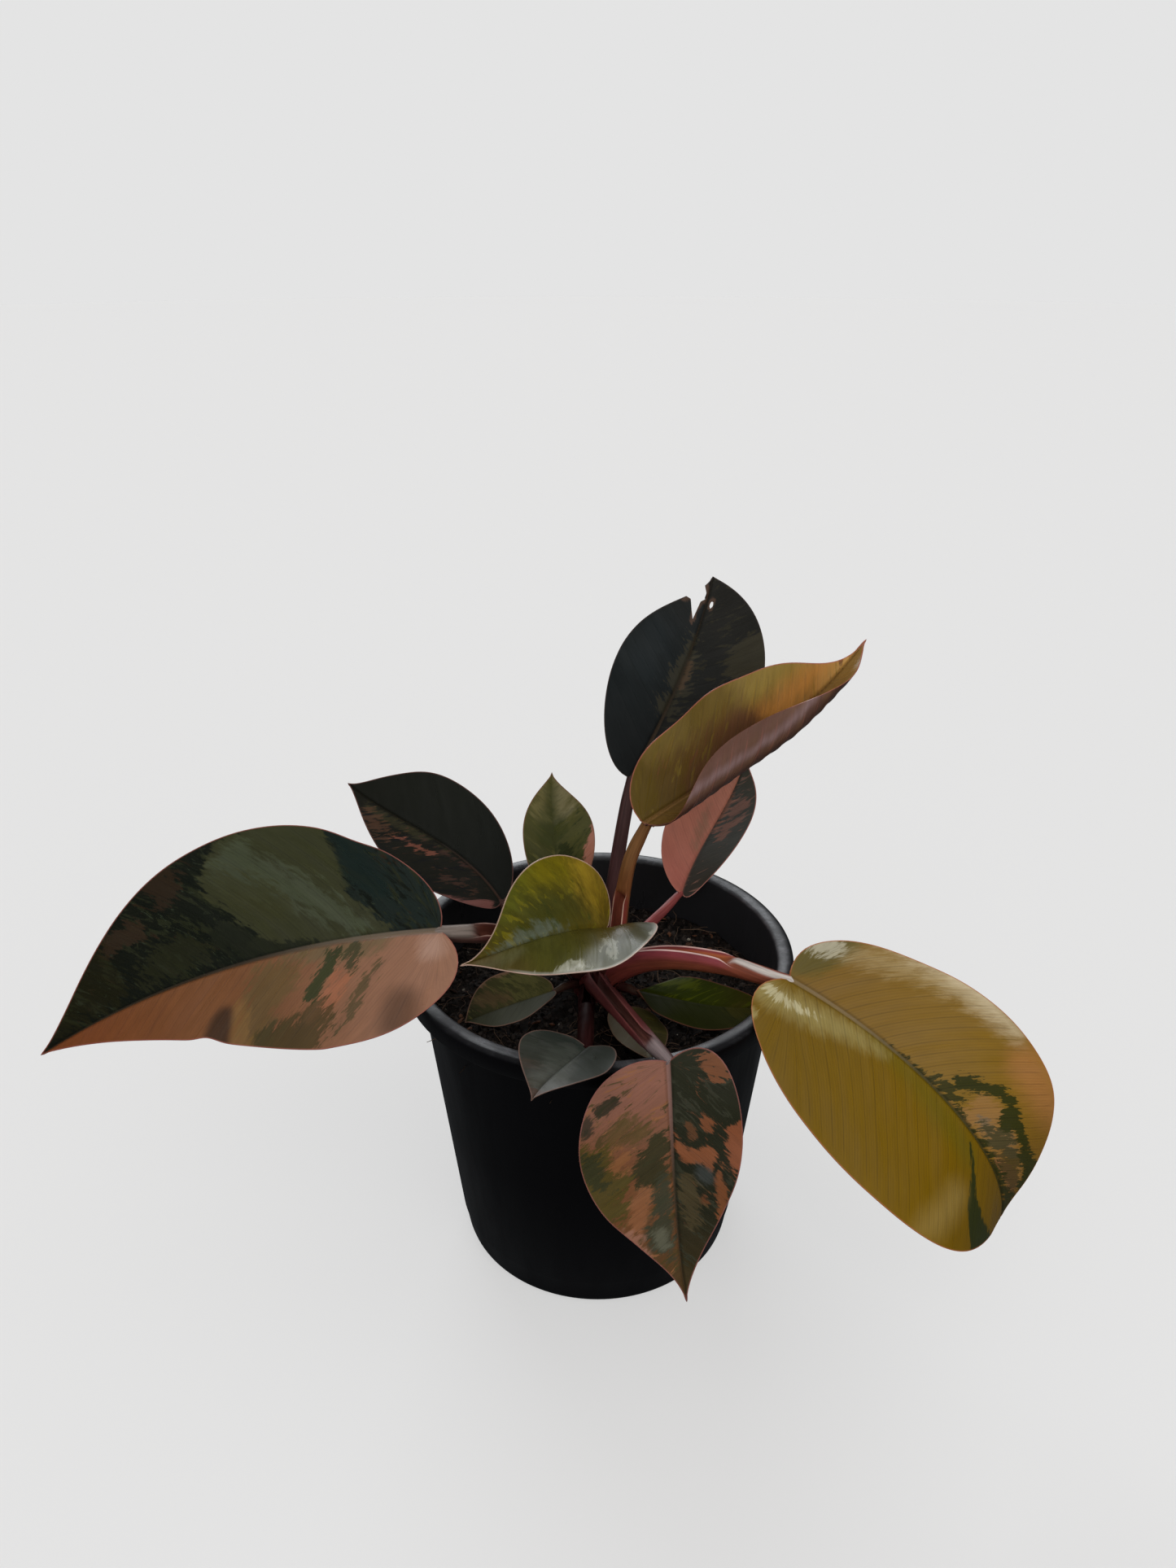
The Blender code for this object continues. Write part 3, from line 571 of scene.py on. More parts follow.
# Stem
# A short fleshy stem stands in the soil. Old leaf stalks have left ring scars on it, and dry, dark red bud
# scales still clasp it where the stalks leave.
STEM_RADIUS = 8.5
STEM_FOOT = 66.0
STEM_SCARRED_FROM = 101.8
STEM_SCAR_STEP = 0.8
STEM_NECK = 110.5
STEM_TOP = 119.4
STEM_UNEVEN = 0.7

bark = Finish("stem bark", roughness=0.55, specular_ior_level=0.4)
spot = bark.place()
flesh = bark.noise(bark.stretched(spot, (1.0, 1.0, 0.35)), 0.0022, 5.0, 0.65)
bark.set("Base Color", bark.mix(bark.step(flesh, 0.35, 0.7), tone(40, 18, 18), tone(108, 50, 46)))
bark.set("Normal", bark.bump(flesh, 0.0006, 0.6))

stem_radius = STEM_RADIUS - 0.1
stem_profile = [
    (0.0, STEM_FOOT), (stem_radius - 2.0, STEM_FOOT), (stem_radius, STEM_FOOT + 3.0),
    (stem_radius, STEM_SCARRED_FROM - STEM_SCAR_STEP)]
for k in range(22):
    z = STEM_SCARRED_FROM + STEM_SCAR_STEP * k
    taper = 1.0 - 0.86 * max(0.0, (z - STEM_NECK) / 9.0) ** 1.7
    scars = 0.45 * abs(math.sin((z - 100.0) * 0.95))
    stem_profile.append((max(0.4, stem_radius * taper - 0.3 + scars * min(1.0, taper * 1.5)), z))
stem_profile.append((0.0, STEM_TOP))
stem_mesh = turned("stem_core", stem_profile, 48)
for vert in stem_mesh.vertices:
    vert.co.x += noise.noise(vert.co * 190.0) * STEM_UNEVEN * MM
    vert.co.y += noise.noise(vert.co * 170.0 + Vector((5.0, 0.0, 0.0))) * STEM_UNEVEN * MM
smooth(stem_mesh)
new_piece("stem_core", stem_mesh, bark.material, "stem")

# Where each scale stands: turn round the stem in degrees, height of its foot, its height and breadth in
# mm, and its lean outwards in degrees.
SCALES = (
    (250, 104.0, 13.0, 9.0, 16), (320, 103.0, 11.0, 8.0, 22), (20, 104.0, 12.0, 8.5, 14),
    (85, 103.5, 12.0, 8.0, 12), (150, 103.0, 14.0, 9.0, 18), (205, 103.5, 10.0, 8.0, 24),
)


def clasping_scale(shape, turn, foot, tall, broad, lean):
    """A pointed scale of two skins that hugs the stem and leans away at its tip."""
    rows, across = 14, 12
    skins = []
    for skin in (0.0, 0.35):
        grid = []
        for i in range(rows + 1):
            t = i / rows
            half = 0.5 * broad * (1.0 - t ** 2.2) ** 0.75 + 0.05
            away = stem_radius + 0.6 + math.tan(math.radians(lean)) * tall * t * t - skin * (1.0 - 0.7 * t)
            row = []
            for k in range(across + 1):
                off = (2.0 * k / across - 1.0) * half / max(away, 1.0)
                angle = math.radians(turn) + off
                ruffle = 0.25 * math.sin(7.0 * t + 5.0 * off + turn)
                reach = away + ruffle * t
                place = Vector((reach * math.cos(angle), reach * math.sin(angle), foot + tall * t))
                row.append(shape.verts.new(place * MM))
            grid.append(row)
        skins.append(grid)
    for grid, flip in zip(skins, (False, True)):
        for one, other in zip(grid, grid[1:]):
            for k in range(across):
                corners = (one[k], one[k + 1], other[k + 1], other[k])
                shape.faces.new(corners[::-1] if flip else corners)
    loops = []
    for grid in skins:
        one_side, other_side = [row[0] for row in grid[::-1]], [row[-1] for row in grid[1:]]
        loops.append(one_side + grid[0][1:] + other_side + grid[-1][-2:0:-1])
    front, back = loops
    for i in range(len(front)):
        j = (i + 1) % len(front)
        shape.faces.new((front[j], front[i], back[i], back[j]))


scales = bmesh.new()
for place in SCALES:
    clasping_scale(scales, *place)
bmesh.ops.recalc_face_normals(scales, faces=scales.faces)
scale_mesh = bpy.data.meshes.new("bud_scales")
scales.to_mesh(scale_mesh)
scales.free()
smooth(scale_mesh, 60.0)
husk = Finish("bud scale skin", roughness=0.42, specular_ior_level=0.45)
spot = husk.place()
streak = husk.noise(husk.stretched(spot, (1.0, 1.0, 0.12)), 0.0007, 4.0, 0.6)
husk.set("Base Color", husk.mix(husk.step(streak, 0.35, 0.7), tone(50, 20, 21), tone(118, 56, 50)))
husk.set("Normal", husk.bump(streak, 0.0002, 0.5))
new_piece("bud_scales", scale_mesh, husk.material, "stem")


# Large left leaf
# A broad leaf, dark green on its upper half and dusty pink on its lower one, with olive and brown splashes
# between the side veins. It is one living blade on a thick stalk that is grooved on top.
SKIN = 0.5
SIDE_VEIN_SWEEP = 0.26
MIDRIB_STOPS = (0.0, 0.2, 0.45, 0.7, 1.0)


def unit(vectors):
    return vectors / np.linalg.norm(vectors, axis=-1, keepdims=True)


def heading(azimuth, elevation):
    a, e = math.radians(azimuth), math.radians(elevation)
    return np.array((math.cos(a) * math.cos(e), math.sin(a) * math.cos(e), math.sin(e)))


def bezier(points, t):
    s = 1.0 - t
    return np.stack([s ** 3, 3 * s * s * t, 3 * s * t * t, t ** 3], axis=-1) @ points


def bezier_slope(points, t):
    s = 1.0 - t
    return np.stack([3 * s * s, 6 * s * t, 3 * t * t], axis=-1) @ (points[1:] - points[:-1])


def midrib(shape):
    """Four pull points of the midrib: a chord lifted by arch and swung by sway."""
    base, tip = np.array(shape["base"]), np.array(shape["tip"])
    line = unit(tip - base)
    up = heading(*shape["faces"][0]) + heading(*shape["faces"][1])
    up = unit(up - line * up.dot(line))
    pulls = [up * lift + np.cross(line, up) * swing for lift, swing in zip(shape["arch"], shape["sway"])]
    return np.array([base, base + (tip - base) / 3 + pulls[0], base + (tip - base) * 2 / 3 + pulls[1], tip])


def blade_frame(shape, along):
    """Points, directions, upper-face normals and right-hand sides on the midrib."""
    curve = midrib(shape)
    t = np.clip(along, 0.0, 1.0)
    slope = bezier_slope(curve, t)
    point = bezier(curve, t) + slope * (along - t)[:, None]
    forward = unit(slope)
    up = heading(*shape["faces"][0]) * (1 - t)[:, None] + heading(*shape["faces"][1]) * t[:, None]
    up = unit(up - forward * np.sum(up * forward, axis=-1, keepdims=True))
    return point, forward, up, np.cross(forward, up)


def blade_place(shape, along, across):
    """Places on the upper face in mm; across runs from 0 at the midrib to 1 or -1 at the widest margin."""
    point, _, up, right = blade_frame(shape, along)
    side = (across > 0).astype(int)
    part = np.abs(across)
    width, wave, waves, phase = (np.array(shape[key])[side] for key in ("width", "wave", "waves", "phase"))
    fold = np.radians(shape["fold"])[side]
    cup = np.where(np.radians(shape["cup"]) == 0.0, 1e-3, np.radians(shape["cup"]))[side]
    out = width * (np.sin(fold + cup * part) - np.sin(fold)) / cup
    rise = -width * (np.cos(fold + cup * part) - np.cos(fold)) / cup
    rise += wave * np.sin(2 * math.pi * (waves * along + phase)) * part ** 2
    puff = np.array(shape.get("puff", (0.0, 0.0)))[side]
    rise += puff * np.sin(math.pi * part) * np.exp(-((along / 0.1) ** 2))
    return point + right * (out * np.where(side == 1, 1.0, -1.0))[:, None] + up * rise[:, None]


def half_outline(shape, side, samples=160):
    """(along, across) of one margin from base to tip, nicked where the real one is."""
    lobe, shoulder, back, widest, front, taper, drip = shape["right" if side else "left"]
    t = np.arange(samples) / samples
    first = np.array(((0, 0), (-lobe, shoulder), (widest - back, 1), (widest, 1)), float)
    second = np.array(((widest, 1), (widest + front, 1), (1 - taper, drip), (1, 0)), float)
    margin = np.concatenate([bezier(first, t), bezier(second, t), [[1.0, 0.0]]])
    for half, where, spread, depth in shape.get("nicks", ()):
        if half == side:
            margin[:, 1] *= 1.0 - depth * np.exp(-(((margin[:, 0] - where) / spread) ** 2))
    return margin


def flat_mm(shape, length, along, across):
    """A blade's own measure spread flat in mm."""
    width = np.where(np.asarray(across) > 0, shape["width"][1], shape["width"][0])
    return np.stack([np.asarray(along) * length, np.asarray(across) * width], axis=-1)


def distance_to(points, line, closed=True):
    """Distance in mm from each point to a line of points, positive inside a closed one."""
    starts, ends = (line, np.roll(line, -1, axis=0)) if closed else (line[:-1], line[1:])
    run = ends - starts
    gap = points[:, None, :] - starts[None]
    part = np.clip(np.sum(gap * run, axis=-1) / np.maximum(np.sum(run * run, axis=-1), 1e-12), 0.0, 1.0)
    far = np.linalg.norm(gap - part[..., None] * run, axis=-1).min(axis=1)
    if not closed:
        return far
    x, y = points[:, :1], points[:, 1:]
    straddle = (starts[:, 1] > y) != (ends[:, 1] > y)
    with np.errstate(divide="ignore", invalid="ignore"):
        cut = starts[:, 0] + (y - starts[:, 1]) * run[:, 0] / run[:, 1]
    inside = np.sum(straddle & (x < cut), axis=1) % 2 == 1
    return np.where(inside, far, -far)


def rounded(corners, steps=5):
    """A closed outline through given corners, without sharp turns."""
    found = []
    for i in range(len(corners)):
        a, b, c, d = (np.array(corners[(i + k) % len(corners)], float) for k in (-1, 0, 1, 2))
        for t in np.arange(steps) / steps:
            found.append(0.5 * (2 * b + (c - a) * t + (2 * a - 5 * b + 4 * c - d) * t ** 2
                                + (3 * b - a - 3 * c + d) * t ** 3))
    return np.array(found)


def blade_net(shape, length, rows, fan, stops):
    """The flat net of a blade whose rows run out along its side veins."""
    points, faces = [], []
    far_stops = 1.0 - (1.0 - np.linspace(0.0, 1.0, stops + 1)[1:]) ** 1.15
    for side in (0, 1):
        margin = half_outline(shape, side)
        flat = margin * (length, shape["width"][side])
        run = np.concatenate(([0.0], np.cumsum(np.linalg.norm(np.diff(flat, axis=0), axis=1))))
        roots = np.maximum.accumulate(margin[:, 0] - SIDE_VEIN_SWEEP * margin[:, 1])
        last = np.flatnonzero(roots <= 0.0)[-1]
        stations = np.arange(1, rows + 1) / rows
        turns = run[last] * np.arange(1, fan + 1) / fan
        ends = np.concatenate([turns, np.interp(stations, roots[last:], run[last:])])
        root = np.concatenate([np.zeros(fan), stations])
        lane = np.concatenate([0.6 * (turns - run[last]), stations * length])
        end_x, end_y = np.interp(ends, run, margin[:, 0]), np.interp(ends, run, margin[:, 1])
        inner = np.minimum(0.45, 2.6 / np.maximum(shape["width"][side] * end_y, 0.1))
        start = sum(len(block) for block in points)
        for i in range(len(root)):
            s = np.concatenate([inner[i] * np.array(MIDRIB_STOPS), inner[i] + (1 - inner[i]) * far_stops])
            along = root[i] + (end_x[i] - root[i]) * s ** 1.12
            across = end_y[i] * s * (1 if side else -1)
            points.append(np.stack([along, across, np.full(len(s), lane[i])], axis=-1))
        count = len(s)
        for i in range(len(root) - 1):
            one, other = start + i * count, start + (i + 1) * count
            for j in range(count - 1):
                ring = (one + j, other + j, other + j + 1, one + j + 1)
                a, b, c, d = ring if side == 0 else ring[::-1]
                faces += [(a, b, c), (a, c, d)]
    net = np.concatenate(points)
    _, kept, link = np.unique(np.round(net[:, :2] * 20000), axis=0, return_index=True, return_inverse=True)
    faces = link.reshape(-1)[np.array(faces)]
    whole = (faces[:, 0] != faces[:, 1]) & (faces[:, 1] != faces[:, 2]) & (faces[:, 0] != faces[:, 2])
    return net[kept], faces[whole]


def torn(net, faces, field):
    """Takes out of a net what lies where the field is above zero, and cuts the triangles on its border."""
    net, field, kept, cuts = list(net), list(field), [], {}

    def cut_between(a, b):
        key = (min(a, b), max(a, b))
        if key not in cuts:
            part = field[a] / (field[a] - field[b])
            cuts[key] = len(net)
            net.append(net[a] + (net[b] - net[a]) * part)
            field.append(0.0)
        return cuts[key]

    for face in faces.tolist():
        ring = []
        for a, b in zip(face, face[1:] + face[:1]):
            if field[a] <= 0.0:
                ring.append(a)
            if (field[a] <= 0.0) != (field[b] <= 0.0):
                ring.append(cut_between(a, b))
        kept += [(ring[0], ring[i], ring[i + 1]) for i in range(1, len(ring) - 1)]
    used, link = np.unique(np.array(kept), return_inverse=True)
    return np.array(net)[used], link.reshape(-1, 3)


def vertex_normals(places, faces):
    a, b, c = (places[faces[:, k]] for k in range(3))
    flat = np.cross(b - a, c - a)
    total = np.zeros_like(places)
    for k in range(3):
        np.add.at(total, faces[:, k], flat)
    return unit(total + 1e-12)


def side_vein_dip(lane, spacing):
    """1 along each main side vein, falling to 0 between them."""
    return (0.5 + 0.5 * np.cos(2 * math.pi * lane / spacing)) ** 7


def blade_mesh(name, shape, look):
    """A thin closed blade: upper skin, lower skin with the midrib's round back, and a fine edge."""
    rows, fan, stops = shape["fine"]
    curve = midrib(shape)
    steps = bezier(curve, np.linspace(0.0, 1.0, 60))
    length = np.linalg.norm(np.diff(steps, axis=0), axis=1).sum()
    net, faces = blade_net(shape, length, rows, fan, stops)
    for outline in shape.get("tears", ()):
        hole = flat_mm(shape, length, *np.array(outline, float).T)
        net, faces = torn(net, faces, distance_to(flat_mm(shape, length, net[:, 0], net[:, 1]), hole))
    along, across, lane = net.T
    flat = flat_mm(shape, length, along, across)
    to_margin = []
    for side in (0, 1):
        margin = half_outline(shape, side) * (1, 1 if side else -1)
        to_margin.append(distance_to(flat, flat_mm(shape, length, *margin.T), closed=False))
    rim = np.minimum(*to_margin)
    away = np.abs(flat[:, 1])
    rib = shape["rib"]
    rib_half = rib * (0.8 - 0.55 * np.clip(along, 0.0, 1.0))
    spacing = look.get("vein_gap", 7.5)
    dip = side_vein_dip(lane, spacing)
    dip = dip * np.clip((away - 1.0) / 3.0, 0.0, 1.0) * np.clip(rim / 5.0, 0.0, 1.0)
    ripple = np.array([noise.noise(Vector((u / 17.0, v / 15.0, shape["rib"]))) for u, v in flat])
    relief = 0.7 * ripple * np.clip(away / 9.0, 0.0, 1.0) - look.get("furrow", 0.04) * dip
    relief += 0.14 * np.exp(-(((away - rib_half) / 0.7) ** 2))
    relief -= 0.052 * rib ** 2 * np.exp(-((away / (0.5 * rib_half)) ** 2))
    upper = blade_place(shape, along, across)
    upper = upper + vertex_normals(upper, faces) * relief[:, None]
    normals = vertex_normals(upper, faces)
    deep = SKIN * (0.5 + 0.5 * np.clip(rim / 2.0, 0.0, 1.0)) + 0.2 * dip
    round_back = np.sqrt(np.clip(1.0 - (away / rib_half) ** 2, 0.0, 1.0))
    deep += rib * (1.0 - 0.85 * np.clip(along, 0.0, 1.0)) * round_back * np.clip(rim, 0.0, 1.0)
    lower = upper - normals * deep[:, None]
    count = len(upper)
    pairs = np.concatenate([faces[:, [0, 1]], faces[:, [1, 2]], faces[:, [2, 0]]])
    known = {tuple(pair) for pair in pairs.tolist()}
    border = [pair for pair in known if pair[::-1] not in known]
    walls = [(b, a, a + count, b + count) for a, b in sorted(border)]
    mesh = bpy.data.meshes.new(name)
    skins = faces.tolist() + (faces[:, ::-1] + count).tolist()
    mesh.from_pydata((np.concatenate([upper, lower]) * MM).tolist(), [], skins + walls)
    fields = {
        "grid": np.stack([lane, flat[:, 1], rim], axis=-1),
        "spread": np.stack([along, across, away], axis=-1)}
    for key, values in fields.items():
        made = mesh.attributes.new(key, "FLOAT_VECTOR", "POINT")
        made.data.foreach_set("vector", np.tile(values, (2, 1)).astype(np.float32).ravel())
    under = mesh.attributes.new("under", "FLOAT", "POINT")
    under.data.foreach_set("value", np.repeat((0.0, 1.0), count).astype(np.float32))
    for k, patch in enumerate(look["patches"]):
        outline = rounded(patch[-1])
        inside = distance_to(flat, flat_mm(shape, length, *outline.T))
        made = mesh.attributes.new(f"patch {k}", "FLOAT", "POINT")
        made.data.foreach_set("value", np.tile(inside, 2).astype(np.float32))
    smooth(mesh, 60.0)
    return mesh


def blade_finish(name, look):
    """Waxy leaf skin: halves of three tones, splashes torn along the veins, veins, midrib and margin, and
    painted sheen and highlights in some patches and along the margin.
    """
    skin = Finish(name + " leaf skin", specular_ior_level=look.get("wax", 0.5))
    lane, out, rim = skin.split(skin.named("grid", "Vector"))
    along, _, away = skin.split(skin.named("spread", "Vector"))
    under = skin.named("under")
    side = skin.step(out, -0.15, 0.15)
    strands = skin.join(lane, skin.math("MULTIPLY", away, 0.16), skin.math("MULTIPLY", side, 40.0))
    camouflage = skin.join(lane, skin.math("MULTIPLY", away, 0.38), skin.math("MULTIPLY", side, 40.0))
    streak = skin.noise(strands, 1.5, 5.0, 0.62)
    broad = skin.noise(strands, 6.5, 3.0, 0.5)
    blotch = skin.noise(camouflage, 3.2, 6.0, 0.7, 0.5)
    speck = skin.noise(camouflage, 1.2, 4.0, 0.65)
    wander = skin.math("MULTIPLY", skin.math("SUBTRACT", blotch, 0.5), 5.5)
    wander = skin.math("MULTIPLY_ADD", skin.math("SUBTRACT", speck, 0.5), 3.0, wander)
    jog = skin.math("MULTIPLY_ADD", broad, 0.25, skin.math("SUBTRACT", along, 0.125))
    halves = []
    for tones in (look["left"], look["right"]):
        low, mid, high = (tone(*t) for t in tones)
        to_mid = skin.mix(skin.step(jog, 0.0, 0.5), low, mid)
        halves.append(skin.mix(skin.step(jog, 0.5, 1.0), to_mid, high))
    colour = skin.mix(side, *halves)
    other_side = skin.math("SUBTRACT", 1.0, side)
    for k, (half, fleck, size, share) in enumerate(look.get("flecks", ())):
        where = skin.stretched(camouflage, (1.0, 1.0, 1.0), (0.0, 0.0, 11.0 * (k + 1)))
        chance = skin.step(skin.noise(where, size, 5.0, 0.65, 0.8), 0.66 - share, 0.7 - share, 0.0, 0.85)
        mask = skin.math("MULTIPLY", chance, side if half else other_side)
        colour = skin.mix(mask, colour, tone(*fleck))
    for k, (paint, soft, ragged, strength, outline) in enumerate(look["patches"]):
        field = skin.named(f"patch {k}")
        field = skin.math("MULTIPLY_ADD", wander, ragged, field)
        mask = skin.step(field, -soft, soft, 0.0, strength)
        reach = [corner[1] for corner in outline]
        if min(reach) > -0.08 or max(reach) < 0.08:
            mask = skin.math("MULTIPLY", mask, side if sum(reach) > 0.0 else other_side)
        colour = skin.mix(mask, colour, tone(*paint))
    mottle, cloud = look.get("mottle", 0.06), look.get("blotch", 0.08)
    shade = skin.step(streak, 0.25, 0.75, 1.0 - mottle, 1.0 + mottle)
    shade = skin.math("MULTIPLY", shade, skin.step(blotch, 0.3, 0.7, 1.0 - cloud, 1.0 + cloud))
    colour = skin.scaled(colour, shade)
    gap = look.get("vein_gap", 7.5)
    wobble = skin.math("MULTIPLY_ADD", skin.math("SUBTRACT", broad, 0.5), 1.6, lane)
    to_vein = skin.math("PINGPONG", wobble, gap / 2)
    to_thread = skin.math("PINGPONG", wobble, gap / 8)
    inward = skin.step(rim, 0.5, 5.0)
    vein = skin.math("MULTIPLY", skin.step(to_vein, 0.05, 0.45, 1.0, 0.0), inward)
    thread = skin.math("MULTIPLY", skin.step(to_thread, 0.02, 0.3, 1.0, 0.0), inward)
    depth = look.get("veins", 0.07)
    darker = skin.math("MULTIPLY_ADD", vein, -depth, skin.math("MULTIPLY_ADD", thread, -0.8 * depth, 1.0))
    colour = skin.scaled(colour, darker)
    rib_near, rib_far, rib_wide = look["rib"]
    rib_edge = skin.math("MULTIPLY_ADD", along, -0.85 * rib_wide, rib_wide)
    past_rib = skin.math("SUBTRACT", away, rib_edge)
    shown = look.get("rib_show", 1.0)
    colour = skin.scaled(colour, skin.step(past_rib, 0.0, 1.1, 1.0 - 0.28 * shown, 1.0))
    rib_colour = skin.mix(skin.step(along, 0.1, 0.5), tone(*rib_near), tone(*rib_far))
    colour = skin.mix(skin.step(past_rib, -0.3, 0.2, 0.8 * shown, 0.0), colour, rib_colour)
    # Painted sheen along a stretch of one half's margin.
    for half, paint, wide, strength, start, stop in look.get("painted_sheens", ()):
        near_margin = skin.step(rim, 0.3 * wide, wide, strength, 0.0)
        mask = skin.math("MULTIPLY", near_margin, side if half else other_side)
        mask = skin.math("MULTIPLY", mask, skin.step(along, start - 0.05, start + 0.05))
        mask = skin.math("MULTIPLY", mask, skin.step(along, stop - 0.05, stop + 0.05, 1.0, 0.0))
        colour = skin.mix(mask, colour, tone(*paint))
    on_edge = skin.step(rim, 0.1, 0.5, look.get("edge_show", 0.8), 0.0)
    colour = skin.mix(on_edge, colour, tone(*look["edge"]))
    colour = skin.add("ShaderNodeHueSaturation", {
        "Saturation": look.get("rich", 1.05), "Value": look.get("lift", 1.0), "Color": colour})
    back = skin.scaled(skin.mix(skin.step(broad, 0.3, 0.7, 0.0, 0.4), tone(*look["back"]), colour), shade)
    back = skin.mix(skin.math("MULTIPLY", vein, 0.4), back, tone(*look["edge"]))
    for half, paint, near, far, strength in look.get("bands", ()):
        drawn = skin.math("MULTIPLY_ADD", skin.math("SUBTRACT", broad, 0.5), 4.0, away)
        mask = skin.math("MULTIPLY", skin.step(drawn, near - 1.5, near + 1.5), side if half else other_side)
        mask = skin.math("MULTIPLY", mask, skin.step(drawn, far - 1.5, far + 1.5, 1.0, 0.0))
        mask = skin.math("MULTIPLY", mask, skin.step(streak, 0.3, 0.65, 0.55 * strength, strength))
        back = skin.mix(mask, back, tone(*paint))
    skin.set("Base Color", skin.mix(under, colour, back))
    shine = look.get("shine", 0.34)
    rough = skin.step(broad, 0.3, 0.7, shine - 0.08, shine + 0.1)
    grain = look.get("grain", 0.5)
    skin.set("Roughness", skin.math("MULTIPLY_ADD", vein, 0.2 * grain, rough))
    furrow = skin.math("MULTIPLY_ADD", vein, -1.0, skin.math("MULTIPLY", thread, -0.35))
    normal = skin.bump(furrow, 0.00005, grain)
    normal = skin.bump(streak, 0.0001, grain, normal)
    skin.set("Normal", skin.bump(skin.noise(skin.place(), 0.0005, 2.0), 0.00003, 0.5, normal))
    return skin.material


def stalk_tree():
    """A tree that swells a path into a stalk: round, or with a winged open channel on top."""
    graph = geometry_tree("leaf stalk", {
        "Sides": ("Int", 60), "Wing": ("Float", 0.25), "Mouth": ("Float", 0.72),
        "Material": ("Material", None)})
    given = graph.given

    def read(name, kind="FLOAT_VECTOR"):
        return graph.add("GeometryNodeInputNamedAttribute", {"Name": name}, data_type=kind)

    path = graph.add("GeometryNodeMeshToCurve", {"Mesh": given["Geometry"]})
    hoop = graph.add("GeometryNodeCurvePrimitiveCircle", {"Resolution": given["Sides"], "Radius": 0.0002})
    place_on_hoop = graph.math("DIVIDE", graph.add("GeometryNodeInputIndex"), given["Sides"])
    hoop = graph.add("GeometryNodeStoreNamedAttribute", {
        "Geometry": hoop, "Name": "turn", "Value": place_on_hoop}, data_type="FLOAT", domain="POINT")
    tube = graph.add("GeometryNodeCurveToMesh", {"Curve": path, "Profile Curve": hoop, "Fill Caps": True})
    swing = graph.math("MULTIPLY_ADD", read("turn", "FLOAT"), 2 * math.pi, -math.pi)
    c = graph.math("ABSOLUTE", swing)
    wing, opened = given["Wing"], read("open", "FLOAT")
    inner = graph.math("DIVIDE", c, math.radians(60), clamp=True)
    outer = graph.math("DIVIDE", graph.math("SUBTRACT", c, math.radians(60)), math.radians(30), clamp=True)
    mouth, rest = given["Mouth"], graph.math("SUBTRACT", 1.0, outer)
    bulge = graph.math("MULTIPLY", graph.math("MULTIPLY", outer, rest), graph.math("MULTIPLY", wing, 4.0))
    flare = graph.math("ADD", graph.math("MULTIPLY_ADD", mouth, rest, outer), bulge)
    side_open = graph.math("MULTIPLY", graph.math("POWER", inner, 0.8), flare)
    rise = graph.math("MULTIPLY", graph.math("POWER", inner, 2.4), graph.math("ADD", 1.0, wing))
    up_open = graph.math("MULTIPLY", graph.math("SUBTRACT", rise, 0.25), rest)
    above = graph.math("MULTIPLY", graph.math("LESS_THAN", c, math.radians(90)), opened)
    parts = []
    for open_way, round_way in ((side_open, "SINE"), (up_open, "COSINE")):
        plain = graph.math(round_way, c)
        parts.append(graph.add("ShaderNodeMix", {0: above, 2: plain, 3: open_way}, data_type="FLOAT"))
    sideways = graph.math("MULTIPLY", parts[0], graph.math("SIGN", swing))
    thick = read("thick", "FLOAT")
    shift = graph.vector("ADD", *(
        graph.add("ShaderNodeVectorMath", {
            0: read(axis), 3: graph.math("MULTIPLY", part, thick)}, operation="SCALE")
        for axis, part in (("side", sideways), ("up", parts[1]))))
    swollen = graph.add("GeometryNodeSetPosition", {
        "Geometry": tube, "Position": graph.vector("ADD", read("spine"), shift)})
    finish_tree(graph, swollen, given["Material"])
    return graph


STALK_TREE = stalk_tree()


def eased(value, low, high):
    t = np.clip((value - low) / (high - low), 0.0, 1.0)
    return t * t * (3.0 - 2.0 * t)


